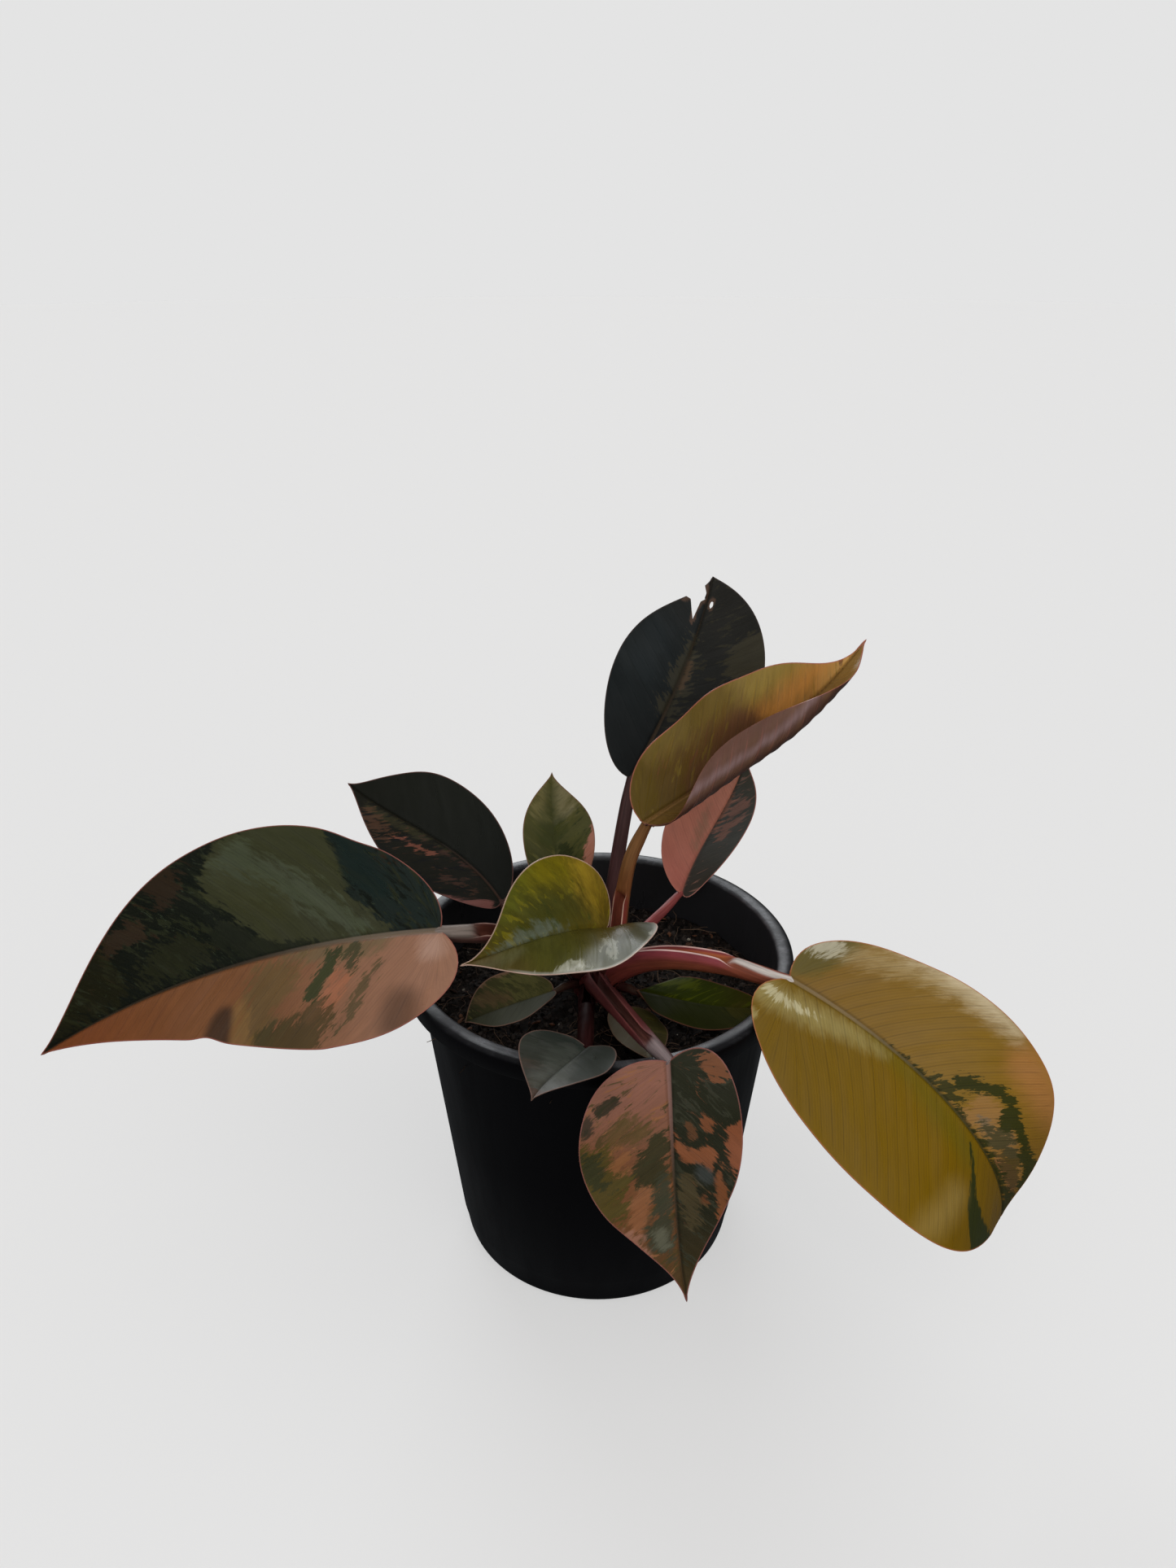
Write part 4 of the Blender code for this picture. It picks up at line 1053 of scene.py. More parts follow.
def stalk_mesh(name, shape, stalk, material):
    """A stalk along its curve, run on under the midrib so that it grows into the blade."""
    _, forward, up_end, _ = (found[0] for found in blade_frame(shape, np.zeros(1)))
    end = np.array(shape["base"]) + forward * 0.4
    curve = np.array([stalk["start"], *stalk["pulls"], end])
    t = np.linspace(0.0, 1.0, 56)
    slope = unit(bezier_slope(curve, t))
    raw_up = np.tile(up_end, (len(t), 1))
    if stalk["opens"] == "up":
        raw_up = np.array((0.0, 0.0, 1.0)) * (1 - t)[:, None] + up_end * t[:, None]
    up = unit(raw_up - slope * np.sum(raw_up * slope, axis=-1, keepdims=True))
    tilt = np.radians(stalk.get("tilt", 0.0)) * (1.0 - eased(t, 0.6, 0.95))[:, None]
    up = up * np.cos(tilt) + np.cross(slope, up) * np.sin(tilt)
    thick = stalk["radius"][0] * (1 - t) + stalk["radius"][1] * t
    thick *= 1.0 - 0.16 * eased(t, 0.85, 1.0)
    spine = bezier(curve, t) - up * (thick * 0.8 * eased(t, 0.72, 1.0))[:, None]
    under = np.linspace(0.02, 0.14, 14)
    point, run_on, up_on, _ = blade_frame(shape, under)
    thick_on = thick[-1] * (1.0 - 0.75 * (under - 0.02) / 0.12)
    spine = np.concatenate([spine, point - up_on * (1.05 * thick_on + 0.6)[:, None]])
    slope, up = np.concatenate([slope, run_on]), np.concatenate([up, up_on])
    thick = np.concatenate([thick, thick_on])
    reach = np.concatenate([t, np.ones(len(under))])
    sheath = stalk.get("sheath", 0.0)
    opened = 1.0 - eased(reach, sheath - 0.04, sheath + 0.05) if sheath else np.zeros(len(reach))
    mesh = bpy.data.meshes.new(name)
    mesh.from_pydata((spine * MM).tolist(), [(i, i + 1) for i in range(len(spine) - 1)], [])
    fields = {"spine": spine * MM, "up": up, "side": np.cross(slope, up)}
    for key, values in fields.items():
        made = mesh.attributes.new(key, "FLOAT_VECTOR", "POINT")
        made.data.foreach_set("vector", values.astype(np.float32).ravel())
    for key, values in {"thick": thick * MM, "open": opened, "reach": reach}.items():
        made = mesh.attributes.new(key, "FLOAT", "POINT")
        made.data.foreach_set("value", values.astype(np.float32))
    wing, mouth = stalk.get("wing", 0.0), stalk.get("mouth", 0.72)
    tube = run_tree(mesh, STALK_TREE, Wing=wing, Mouth=mouth, Material=material)
    shell = bmesh.new()
    shell.from_mesh(tube)
    bmesh.ops.recalc_face_normals(shell, faces=shell.faces)
    shell.to_mesh(tube)
    shell.free()
    smooth(tube, 50.0)
    return tube


def stalk_finish(name, stalk):
    """Striped stalk skin that changes tone towards the blade, that tone painted on top as a highlight, with
    pale lips on its channel if any: partly their own colour, partly painted highlight.
    """
    low, mid, end, *channel = (tone(*t) for t in stalk["tones"])
    skin = Finish(name + " stalk skin", specular_ior_level=stalk.get("gloss", 0.22))
    reach, turn = skin.named("reach"), skin.named("turn")
    strands = skin.join(skin.math("MULTIPLY", turn, 26.0), skin.math("MULTIPLY", reach, 5.0), 0.0)
    stripe = skin.noise(strands, 1.3, 4.0, 0.6)
    blotch = skin.noise(skin.place(), 0.006, 3.0)
    where = skin.math("MULTIPLY_ADD", blotch, 0.2, skin.math("SUBTRACT", reach, 0.1))
    colour = skin.mix(skin.step(where, 0.08, 0.45), low, mid)
    from_top = skin.math("ABSOLUTE", skin.math("SUBTRACT", turn, 0.5))
    # Near the blade the end tone is laid on the top of the stalk and fades below it: a painted highlight.
    top_highlight = skin.step(from_top, *stalk.get("pale", (0.12, 0.28)), 1.0, stalk.get("pale_below", 0.15))
    near_blade = skin.math("MULTIPLY", skin.step(where, *stalk.get("fades", (0.55, 0.85))), top_highlight)
    colour = skin.mix(near_blade, colour, end)
    rough = skin.step(blotch, 0.3, 0.7, 0.42, 0.56)
    if channel:
        inside, lip = channel
        opened = skin.named("open")
        flushed = skin.math("MULTIPLY", opened, skin.step(from_top, 0.18, 0.27, 0.85, 0.0))
        colour = skin.mix(flushed, colour, tone(*stalk.get("flush", stalk["tones"][1])))
        within = skin.math("MULTIPLY", opened, skin.step(from_top, 0.13, 0.16, 1.0, 0.0))
        colour = skin.mix(within, colour, inside)
        # Pale lines on the channel's lips: partly their own paler colour, partly a painted highlight.
        from_lip = skin.math("ABSOLUTE", skin.math("SUBTRACT", from_top, 0.167))
        lip_colour_and_highlight = skin.math("MULTIPLY", opened, skin.step(from_lip, 0.004, 0.011, 0.9, 0.0))
        colour = skin.mix(lip_colour_and_highlight, colour, lip)
        rough = skin.math("MULTIPLY_ADD", within, 0.3, rough)
    skin.set("Base Color", skin.scaled(colour, skin.step(stripe, 0.3, 0.7, 0.75, 1.25)))
    skin.set("Roughness", rough)
    skin.set("Normal", skin.bump(stripe, 0.00025, 0.6))
    return skin.material


def grow_leaf(name, shape, stalk, look):
    """A stalk and its blade, each in the place of its solid."""
    skin = stalk_finish(name, stalk)
    tube = stalk_mesh("stalk_" + name, shape, stalk, skin)
    new_piece("stalk_" + name, tube, skin, "petiole_" + name)
    blade = blade_mesh("leaf_" + name, shape, look)
    new_piece("leaf_" + name, blade, blade_finish(name, look), "blade_" + name)


# How fine a blade's net is: rows along the midrib, rows round the base and stops out to the margin.
LARGE, MIDDLE, SMALL = (96, 22, 22), (64, 14, 16), (44, 12, 12)

# Each leaf is given as three groups. Its shape has the base and tip in mm, the lift and swing of its
# midrib, the azimuth and elevation that its face looks to at the base and at the tip, then widths, fold,
# cup and margin wave as (left half, right half), and its two margins as half_outline reads them. Its stalk
# has the path, the radius at both ends, how far up its channel runs, and its tones: three from the crown
# outwards, the last also laid on its top near the blade as a painted highlight, then the channel's inside
# and its lips. In its look every colour is picked in steps of 0 to 255, and each half has three tones from
# base to tip. A patch is its colour, the softness of its edge in mm, how far the side veins tear that edge,
# its strength and its corners, each (along, across); most patches are the leaf's own splashes, and the pale
# ones marked as such at each leaf are painted sheen and highlights. A fleck is its half, 1 for the right
# one, its colour, its size in mm and its share. A painted sheen is its half, its colour, its width in mm
# from the margin, its strength, and where it starts and stops. A band lies on the back: its half, its
# colour, its nearest and furthest mm from the midrib, and its strength.

grow_leaf(
    "left_large",
    shape=dict(
        base=(-53.3, -20.9, 141.7), tip=(-185.8, -43.2, 106.9), arch=(12.8, 12.2), sway=(7.8, 8.5),
        faces=((279, 57), (285, 50)), width=(38.0, 46.4), fold=(13, 11), cup=(-10, -12), wave=(1.2, 0.8),
        waves=(3.0, 2.5), phase=(0.36, 0.58), rib=2.4, fine=LARGE,
        left=(0.09, 0.38, 0.28, 0.28, 0.1, 0.14, 0.11), right=(0.05, 0.36, 0.23, 0.42, 0.26, 0.13, 0.11),
        nicks=((1, 0.17, 0.05, 0.04), (0, 0.57, 0.03, 0.06)),
    ),
    stalk=dict(
        start=(-3.5, -1.0, 109.0), pulls=((-14.0, -5.0, 125.0), (-33.0, -13.0, 136.0)), radius=(4.0, 3.1),
        sheath=0.8, wing=0.2, opens="up", pale=(0.1, 0.2), fades=(0.6, 0.8), flush=(92, 48, 44),
        tones=((62, 32, 28), (70, 40, 34), (112, 101, 94), (92, 50, 38), (168, 134, 122)),
    ),
    look=dict(
        left=((143, 105, 84), (118, 78, 50), (116, 66, 38)),
        right=((25, 35, 31), (18, 22, 14), (17, 17, 7)), rib=((112, 98, 82), (58, 48, 36), 1.0),
        edge=(150, 90, 80), back=(78, 52, 44), vein_gap=5.2, veins=0.1, grain=0.3,
        flecks=(
            (1, (36, 40, 22), 5.0, 0.13), (1, (14, 18, 12), 2.8, 0.13), (1, (44, 31, 18), 3.0, 0.03),
            (1, (46, 54, 38), 1.6, 0.05),
        ),
        patches=(
            ((53, 55, 31), 0.7, 2.0, 1.0, (
                (0.1, -0.04), (0.16, 0.2), (0.2, 0.38), (0.215, 0.55), (0.235, 0.8), (0.26, 1.0),
                (0.35, 1.0), (0.47, 0.98), (0.51, 0.82), (0.525, 0.6), (0.49, 0.45), (0.455, 0.28),
                (0.41, 0.2), (0.44, 0.1), (0.37, 0.0), (0.28, -0.06), (0.2, -0.06))),
            # Painted sheen: a pale grey-olive streak across the dark half.
            ((78, 88, 68), 2.4, 3.6, 0.42, (
                (0.42, 0.92), (0.37, 0.74), (0.325, 0.6), (0.27, 0.43), (0.2, 0.22), (0.16, 0.08),
                (0.2, 0.06), (0.27, 0.2), (0.35, 0.34), (0.43, 0.46), (0.49, 0.62), (0.49, 0.84))),
            ((26, 30, 18), 0.6, 2.0, 0.9, (
                (0.5, 0.34), (0.45, 0.25), (0.41, 0.13), (0.34, 0.07), (0.28, 0.02), (0.36, 0.0),
                (0.45, 0.02), (0.53, 0.2))),
            ((54, 55, 27), 2.0, 3.6, 0.8, (
                (0.38, 0.28), (0.47, 0.48), (0.49, 0.75), (0.42, 0.62), (0.33, 0.36))),
            ((19, 32, 29), 1.5, 2.0, 0.8, (
                (0.13, 0.3), (0.2, 0.45), (0.212, 0.7), (0.24, 0.95), (0.2, 0.95), (0.16, 0.7),
                (0.11, 0.4))),
            ((44, 32, 19), 0.6, 3.4, 0.85, ((0.57, 0.66), (0.6, 0.95), (0.66, 0.95), (0.63, 0.62))),
            ((48, 35, 21), 0.6, 3.0, 0.85, (
                (0.67, 0.44), (0.69, 0.55), (0.77, 0.5), (0.77, 0.36), (0.72, 0.4))),
            ((34, 36, 17), 0.7, 5.0, 0.75, (
                (0.52, 0.2), (0.6, 0.34), (0.7, 0.26), (0.7, 0.08), (0.6, 0.08))),
            ((32, 30, 9), 0.8, 4.6, 0.5, (
                (0.76, 0.08), (0.78, 0.6), (0.95, 0.4), (0.97, 0.1), (0.86, 0.04))),
            ((100, 88, 62), 3.0, 3.0, 0.75, ((0.12, -0.02), (0.34, -0.02), (0.36, -0.12), (0.2, -0.2))),
            ((92, 77, 46), 3.0, 4.5, 0.75, (
                (0.33, -0.1), (0.44, -0.15), (0.49, -0.6), (0.5, -0.98), (0.42, -0.8), (0.36, -0.4))),
            ((152, 98, 72), 1.0, 3.0, 0.8, (
                (0.22, -0.3), (0.25, -0.3), (0.3, -0.6), (0.34, -0.75), (0.28, -0.7), (0.23, -0.5))),
            ((58, 60, 36), 0.5, 1.8, 1.0, (
                (0.225, -0.06), (0.262, -0.06), (0.275, -0.2), (0.3, -0.36), (0.33, -0.5), (0.305, -0.55),
                (0.27, -0.35), (0.24, -0.2))),
            ((62, 60, 37), 0.5, 2.4, 0.9, ((0.185, -0.06), (0.215, -0.08), (0.228, -0.3), (0.205, -0.3))),
            ((74, 66, 40), 0.8, 2.6, 0.8, (
                (0.145, -0.2), (0.175, -0.36), (0.21, -0.54), (0.25, -0.74), (0.28, -0.86),
                (0.255, -0.86), (0.215, -0.7), (0.18, -0.5), (0.15, -0.34))),
            ((62, 56, 30), 1.2, 4.4, 0.8, (
                (0.27, -0.62), (0.31, -0.58), (0.36, -0.64), (0.43, -0.66), (0.47, -0.84), (0.45, -1.02),
                (0.33, -1.02), (0.28, -0.88), (0.26, -0.72))),
            ((124, 93, 52), 2.0, 3.0, 0.7, (
                (0.47, -0.4), (0.5, -0.4), (0.55, -0.9), (0.5, -1.0), (0.47, -0.7))),
            ((66, 46, 32), 1.8, 0.5, 0.95, (
                (0.5, -0.42), (0.54, -0.4), (0.6, -0.75), (0.585, -0.97), (0.54, -0.9))),
            ((88, 61, 44), 4.0, 0.6, 0.75, (
                (0.07, -0.6), (0.13, -0.58), (0.16, -0.9), (0.12, -1.0), (0.07, -0.9))),
            # Painted highlight: pale pink at the base of the pink half.
            ((176, 144, 128), 3.0, 0.8, 0.6, ((0.0, -0.06), (0.04, -0.05), (0.05, -0.28), (0.0, -0.26))),
        ),
    ),
)


# Leaf at the back left
# A dark leaf that leans back behind the crown. Flecks and one strip of pinkish brown run along its lower
# half.
grow_leaf(
    "back_left",
    shape=dict(
        base=(-36.2, 24.6, 125.3), tip=(-96.1, 51.8, 162.0), arch=(4.5, 3.4), sway=(8.5, -2.1),
        faces=((290, 42), (282, 37)), width=(19.0, 23.1), fold=(15, 13), cup=(-8, -9), wave=(0.8, 0.7),
        waves=(2.5, 2.5), phase=(0.1, 0.61), rib=2.0, fine=MIDDLE,
        left=(0.07, 0.37, 0.26, 0.43, 0.28, 0.14, 0.11), right=(0.02, 0.33, 0.24, 0.49, 0.31, 0.09, 0.11),
    ),
    stalk=dict(
        start=(-4.0, 3.0, 106.0), pulls=((-12.0, 9.0, 114.0), (-26.0, 18.0, 118.0)), radius=(2.8, 2.1),
        opens="up", tones=((36, 20, 18), (58, 34, 30), (70, 46, 40)),
    ),
    look=dict(
        left=((30, 30, 25), (28, 28, 22), (26, 26, 20)), right=((26, 28, 25), (27, 29, 24), (25, 26, 20)),
        rib=((66, 46, 36), (34, 32, 26), 0.5), edge=(112, 76, 70), back=(52, 36, 34), veins=0.0, wax=0.35,
        furrow=0.0, grain=0.0, flecks=((0, (58, 42, 31), 2.2, 0.06), (0, (22, 23, 24), 3.0, 0.1)),
        patches=(
            ((48, 46, 29), 0.6, 2.4, 0.9, (
                (0.84, -0.1), (0.76, -0.26), (0.66, -0.24), (0.5, -0.16), (0.36, -0.04), (0.5, -0.05))),
            ((84, 58, 42), 0.4, 6.4, 0.65, (
                (0.62, -0.3), (0.72, -0.26), (0.84, -0.36), (0.84, -0.52), (0.76, -0.48), (0.66, -0.42))),
            ((112, 68, 54), 0.3, 1.7, 0.95, (
                (0.64, -0.42), (0.58, -0.34), (0.42, -0.25), (0.41, -0.34), (0.52, -0.4))),
            ((70, 46, 38), 0.4, 2.4, 0.6, (
                (0.5, -0.12), (0.46, -0.17), (0.3, -0.09), (0.2, -0.03), (0.33, -0.12))),
            ((74, 50, 40), 0.3, 3.4, 0.7, ((0.2, -0.42), (0.32, -0.5), (0.32, -0.58), (0.2, -0.54))),
            ((66, 46, 36), 0.3, 3.4, 0.7, ((0.12, -0.3), (0.2, -0.36), (0.2, -0.44), (0.1, -0.38))),
            ((122, 79, 73), 0.8, 1.0, 1.0, (
                (0.27, -0.95), (0.2, -0.8), (0.1, -0.55), (0.03, -0.2), (0.0, -0.3), (0.02, -0.9),
                (0.1, -1.1), (0.22, -1.1))),
        ),
    ),
)


# Small upright leaf
# A young olive leaf that stands in front of the tall one, with a pink patch on its right margin.
grow_leaf(
    "upright_small",
    shape=dict(
        base=(-15.5, 20.0, 131.6), tip=(-16.6, 29.3, 177.0), arch=(-3.4, -3.6), sway=(1.2, -1.4),
        faces=((270, 20), (271, 25)), width=(11.5, 15.1), fold=(9, 8), cup=(-7, -8), wave=(0.3, 0.3),
        waves=(2.0, 2.0), phase=(0.11, 0.59), rib=1.5, fine=SMALL,
        left=(0.1, 0.43, 0.29, 0.46, 0.32, 0.12, 0.11), right=(0.1, 0.44, 0.29, 0.45, 0.31, 0.13, 0.11),
    ),
    stalk=dict(
        start=(-3.0, 4.5, 108.0), pulls=((-6.0, 11.0, 117.0), (-14.0, 17.0, 122.0)), radius=(2.2, 1.6),
        opens="face", tones=((36, 20, 18), (70, 40, 36), (84, 56, 48)),
    ),
    look=dict(
        left=((40, 44, 24), (68, 68, 38), (86, 82, 46)), right=((40, 44, 24), (72, 72, 38), (90, 86, 50)),
        rib=((52, 50, 32), (46, 46, 28), 0.5), edge=(120, 88, 70), back=(76, 66, 48), vein_gap=4.5,
        rib_show=0.1, veins=0.03, furrow=0.0, grain=0.1, lift=1.3,
        flecks=((1, (46, 52, 26), 2.6, 0.1), (0, (84, 82, 46), 2.6, 0.1)),
        patches=(
            ((130, 122, 94), 3.4, 2.6, 0.6, (
                (0.6, 0.08), (0.7, 0.5), (0.85, 0.4), (0.97, 0.1), (0.8, 0.04))),
            ((116, 108, 72), 2.0, 2.6, 0.6, ((0.6, -0.15), (0.68, -0.65), (0.8, -0.5), (0.9, -0.15))),
            ((32, 38, 18), 1.0, 3.4, 0.85, ((0.02, 0.1), (0.05, 0.6), (0.3, 0.5), (0.42, 0.1))),
            ((48, 54, 26), 2.0, 3.0, 0.6, (
                (0.35, -0.05), (0.45, -0.42), (0.7, -0.35), (0.9, -0.1), (0.9, 0.08), (0.7, 0.12),
                (0.5, 0.3), (0.35, 0.1))),
            ((152, 104, 88), 0.5, 1.0, 1.0, (
                (0.2, 0.75), (0.3, 0.68), (0.38, 0.78), (0.45, 0.88), (0.55, 0.9), (0.5, 1.1), (0.2, 1.1))),
        ),
    ),
)


# Tall torn leaf
# The highest leaf, almost black with a bluish shine. Its end was torn while it unrolled, and the torn
# edge and the little hole beside it have dried brown.
grow_leaf(
    "tall_torn",
    shape=dict(
        base=(12.1, 24.6, 176.9), tip=(40.0, 44.1, 245.5), arch=(1.5, 2.6), sway=(3.0, 4.4),
        faces=((269, 25), (268, 25)), width=(23.9, 28.1), fold=(7, 9), cup=(-11, -10), wave=(0.8, 0.7),
        waves=(2.5, 2.5), phase=(0.08, 0.6), rib=2.2, fine=(84, 14, 20),
        left=(0.04, 0.41, 0.28, 0.49, 0.34, 0.13, 0.11), right=(0.1, 0.45, 0.3, 0.5, 0.43, 0.02, 0.12),
        tears=(
            ((1.1, -0.75), (0.9, -0.42), (0.885, -0.31), (0.878, -0.235), (0.83, -0.18), (0.79, -0.125),
             (0.838, -0.105), (0.878, -0.085), (0.9, 0.0), (0.93, -0.05), (0.958, -0.09), (1.1, -0.2)),
            ((0.858, 0.055), (0.873, 0.045), (0.892, 0.06), (0.893, 0.085), (0.875, 0.09), (0.858, 0.08)),
        ),
    ),
    stalk=dict(
        start=(2.0, 5.5, 108.0), pulls=((4.5, 14.0, 130.0), (8.0, 20.0, 155.0)), radius=(3.0, 2.3),
        opens="face", tones=((104, 46, 48), (72, 46, 46), (72, 50, 49)),
    ),
    look=dict(
        left=((29, 32, 33), (30, 35, 36), (34, 36, 35)), right=((34, 34, 32), (35, 36, 34), (37, 36, 32)),
        rib=((74, 60, 46), (52, 44, 34), 0.8), edge=(70, 56, 52), back=(46, 36, 36), vein_gap=6.0,
        shine=0.36, wax=0.4, flecks=((1, (50, 48, 36), 3.0, 0.1),),
        patches=(
            ((40, 47, 50), 5.0, 2.5, 0.4, ((0.45, -0.4), (0.5, -0.8), (0.72, -0.85), (0.76, -0.4))),
            ((64, 60, 44), 0.4, 4.6, 0.6, (
                (0.36, -0.12), (0.5, -0.16), (0.68, -0.1), (0.7, 0.04), (0.5, 0.1), (0.32, 0.1))),
            ((84, 66, 48), 0.4, 1.6, 0.8, ((0.48, 0.02), (0.58, 0.01), (0.6, 0.07), (0.48, 0.08))),
            ((58, 54, 38), 0.8, 3.0, 0.8, ((0.62, 0.5), (0.8, 0.6), (0.84, 1.1), (0.66, 1.1))),
            ((84, 64, 52), 0.5, 0.6, 0.95, (
                (0.86, -0.36), (0.86, -0.2), (0.78, -0.15), (0.775, -0.11), (0.85, -0.075), (0.89, 0.03),
                (0.94, -0.02), (0.97, -0.07), (0.96, -0.14), (0.9, -0.25), (0.89, -0.4))),
            ((84, 64, 52), 0.4, 0.5, 0.95, (
                (0.848, 0.04), (0.875, 0.03), (0.903, 0.06), (0.9, 0.1), (0.85, 0.095))),
        ),
    ),
)


# Folded leaf in the middle
# A yellow and olive leaf folded along its midrib, so that its right half stands up like a wall and its
# left half lies to the front with white light on it.
grow_leaf(
    "centre_folded",
    shape=dict(
        base=(3.2, -6.0, 132.6), tip=(-45.7, -33.9, 136.2), arch=(10.2, 3.3), sway=(-2.7, -1.4),
        faces=((277, 100), (277, 59)), width=(32.0, 26.5), fold=(13, 67), cup=(0, 0), wave=(1.5, 0.5),
        waves=(2.0, 2.0), phase=(0.18, 0.49), puff=(2.6, 0.0), rib=2.0, fine=MIDDLE,
        left=(0.06, 0.5, 0.31, 0.32, 0.21, 0.22, 0.09), right=(0.15, 0.5, 0.34, 0.42, 0.3, 0.31, 0.07),
    ),
    stalk=dict(
        start=(0.0, -3.0, 108.0), pulls=((1.5, -7.0, 119.0), (5.0, -8.0, 128.0)), radius=(2.2, 1.6),
        opens="face", tones=((60, 28, 26), (90, 46, 42), (104, 74, 64)),
    ),
    look=dict(
        left=((62, 53, 21), (64, 63, 26), (70, 54, 30)), right=((86, 72, 26), (68, 66, 24), (72, 62, 28)),
        rib=((84, 76, 34), (84, 84, 50), 0.5), edge=(184, 156, 144), back=(82, 68, 44), vein_gap=5.0,
        shine=0.3, veins=0.02, rib_show=0.0, lift=1.36, edge_show=0.75, wax=0.28, furrow=0.0, grain=0.3,
        blotch=0.16, flecks=((1, (104, 96, 30), 3.2, 0.09), (1, (58, 62, 24), 3.0, 0.07)),
        painted_sheens=((0, (128, 126, 116), 1.6, 0.85, 0.0, 0.74),),
        patches=(
            ((52, 54, 24), 6.0, 2.6, 0.6, (
                (0.16, 0.1), (0.22, 0.5), (0.42, 0.55), (0.56, 0.42), (0.54, 0.2), (0.4, 0.1))),
            ((108, 98, 26), 6.0, 2.6, 0.7, (
                (0.24, 0.66), (0.28, 1.1), (0.52, 1.1), (0.56, 0.8), (0.44, 0.66))),
            ((80, 84, 28), 6.0, 2.6, 0.65, (
                (0.54, 0.78), (0.52, 1.1), (0.7, 1.1), (0.84, 0.5), (0.74, 0.36), (0.62, 0.5))),
            ((136, 114, 44), 5.0, 2.8, 0.75, (
                (0.02, 0.35), (0.0, 0.8), (0.08, 1.1), (0.24, 1.1), (0.25, 0.8), (0.18, 0.45),
                (0.1, 0.28))),
            # Painted sheen: grey-blue beside the midrib on the right half.
            ((92, 102, 96), 2.4, 2.4, 0.5, (
                (0.32, 0.02), (0.4, 0.12), (0.48, 0.2), (0.58, 0.18), (0.7, 0.08), (0.8, -0.02),
                (0.7, 0.0), (0.5, 0.0))),
            ((84, 88, 66), 3.0, 1.4, 0.35, (
                (0.62, -0.08), (0.72, -0.2), (0.86, -0.2), (0.94, -0.06), (0.8, -0.02))),
            ((44, 45, 10), 3.0, 1.8, 0.85, (
                (-0.04, -0.6), (0.08, -0.5), (0.24, -0.54), (0.36, -0.72), (0.34, -0.96), (0.05, -1.1),
                (-0.1, -1.0))),
            # Painted highlights: the pale grey-white patches on the left half, below.
            ((130, 130, 116), 0.8, 2.6, 0.5, (
                (0.19, -0.48), (0.24, -0.44), (0.28, -0.66), (0.3, -0.84), (0.24, -0.7))),
            ((160, 160, 150), 0.9, 1.6, 0.6, ((0.0, -0.8), (0.05, -0.76), (0.1, -0.84), (0.04, -0.92))),
            ((150, 150, 136), 1.4, 2.2, 0.7, (
                (0.42, -0.7), (0.46, -0.6), (0.52, -0.64), (0.6, -0.66), (0.7, -0.5), (0.76, -0.5),
                (0.66, -0.76), (0.52, -0.88), (0.44, -0.82))),
            ((160, 160, 150), 0.8, 1.8, 0.6, (
                (0.46, -0.72), (0.51, -0.7), (0.6, -0.78), (0.61, -0.86), (0.5, -0.82))),
        ),
    ),
)


# High leaf on the right
# An olive and orange leaf high up. Its near half is rolled under, so the purplish brown back of the blade
# shows along it.
grow_leaf(
    "high_right",
    shape=dict(
        base=(15.2, -6.0, 174.4), tip=(86.9, 8.2, 234.7), arch=(-3.9, -2.0), sway=(2.1, 8.1),
        faces=((248, 46), (243, 49)), width=(24.6, 26.1), fold=(47, 11), cup=(0, 147), wave=(1.3, 0.8),
        waves=(3.0, 2.0), phase=(-0.14, 0.59), rib=2.2, fine=(84, 14, 24),
        left=(0.03, 0.49, 0.34, 0.41, 0.45, 0.24, 0.02), right=(-0.06, 0.25, 0.25, 0.45, 0.32, 0.1, 0.11),
    ),
    stalk=dict(
        start=(4.5, 1.5, 108.0), pulls=((9.5, 4.5, 130.0), (7.0, 3.5, 150.0)), radius=(3.2, 2.2),
        sheath=0.53, wing=0.25, opens="face", flush=(120, 48, 46),
        tones=((118, 46, 44), (122, 76, 44), (128, 90, 56), (120, 62, 46), (206, 172, 154)),
    ),
    look=dict(
        left=((84, 67, 30), (92, 68, 40), (172, 134, 78)),
        right=((86, 66, 34), (90, 66, 40), (124, 96, 52)), rib=((126, 96, 62), (110, 82, 48), 0.8),
        edge=(158, 94, 80), back=(112, 80, 69), vein_gap=6.0, shine=0.3, lift=1.35, rib_show=0.6,
        flecks=((0, (108, 90, 40), 5.0, 0.08), (0, (98, 66, 42), 5.0, 0.08)),
        bands=(
            # The pale lilac band is painted sheen on the back; the other two are the back's own colour.
            (1, (84, 52, 38), 4.0, 15.0, 0.85), (1, (150, 124, 124), 17.5, 20.0, 0.85),
            (1, (100, 64, 50), 23.0, 30.0, 0.7),
        ),
        patches=(
            ((100, 84, 38), 4.0, 2.6, 0.8, (
                (0.12, -0.62), (0.35, -0.66), (0.6, -0.7), (0.62, -1.1), (0.1, -1.1))),
            ((86, 58, 42), 4.0, 2.6, 0.85, (
                (0.2, 0.0), (0.28, -0.3), (0.5, -0.52), (0.58, -0.4), (0.5, -0.1), (0.4, 0.0))),
            ((130, 110, 54), 6.0, 1.6, 0.9, (
                (0.58, -0.5), (0.9, -0.3), (0.98, -0.1), (0.94, -0.95), (0.6, -1.05))),
            ((162, 113, 62), 5.0, 1.8, 0.9, (
                (0.58, -0.12), (0.57, -0.36), (0.68, -0.42), (0.8, -0.38), (0.9, -0.26), (0.82, -0.15),
                (0.7, -0.08))),
            ((84, 68, 24), 1.5, 2.6, 0.8, (
                (-0.1, -0.25), (0.06, -0.1), (0.12, -0.5), (0.1, -0.9), (-0.1, -0.8))),
        ),
    ),
)


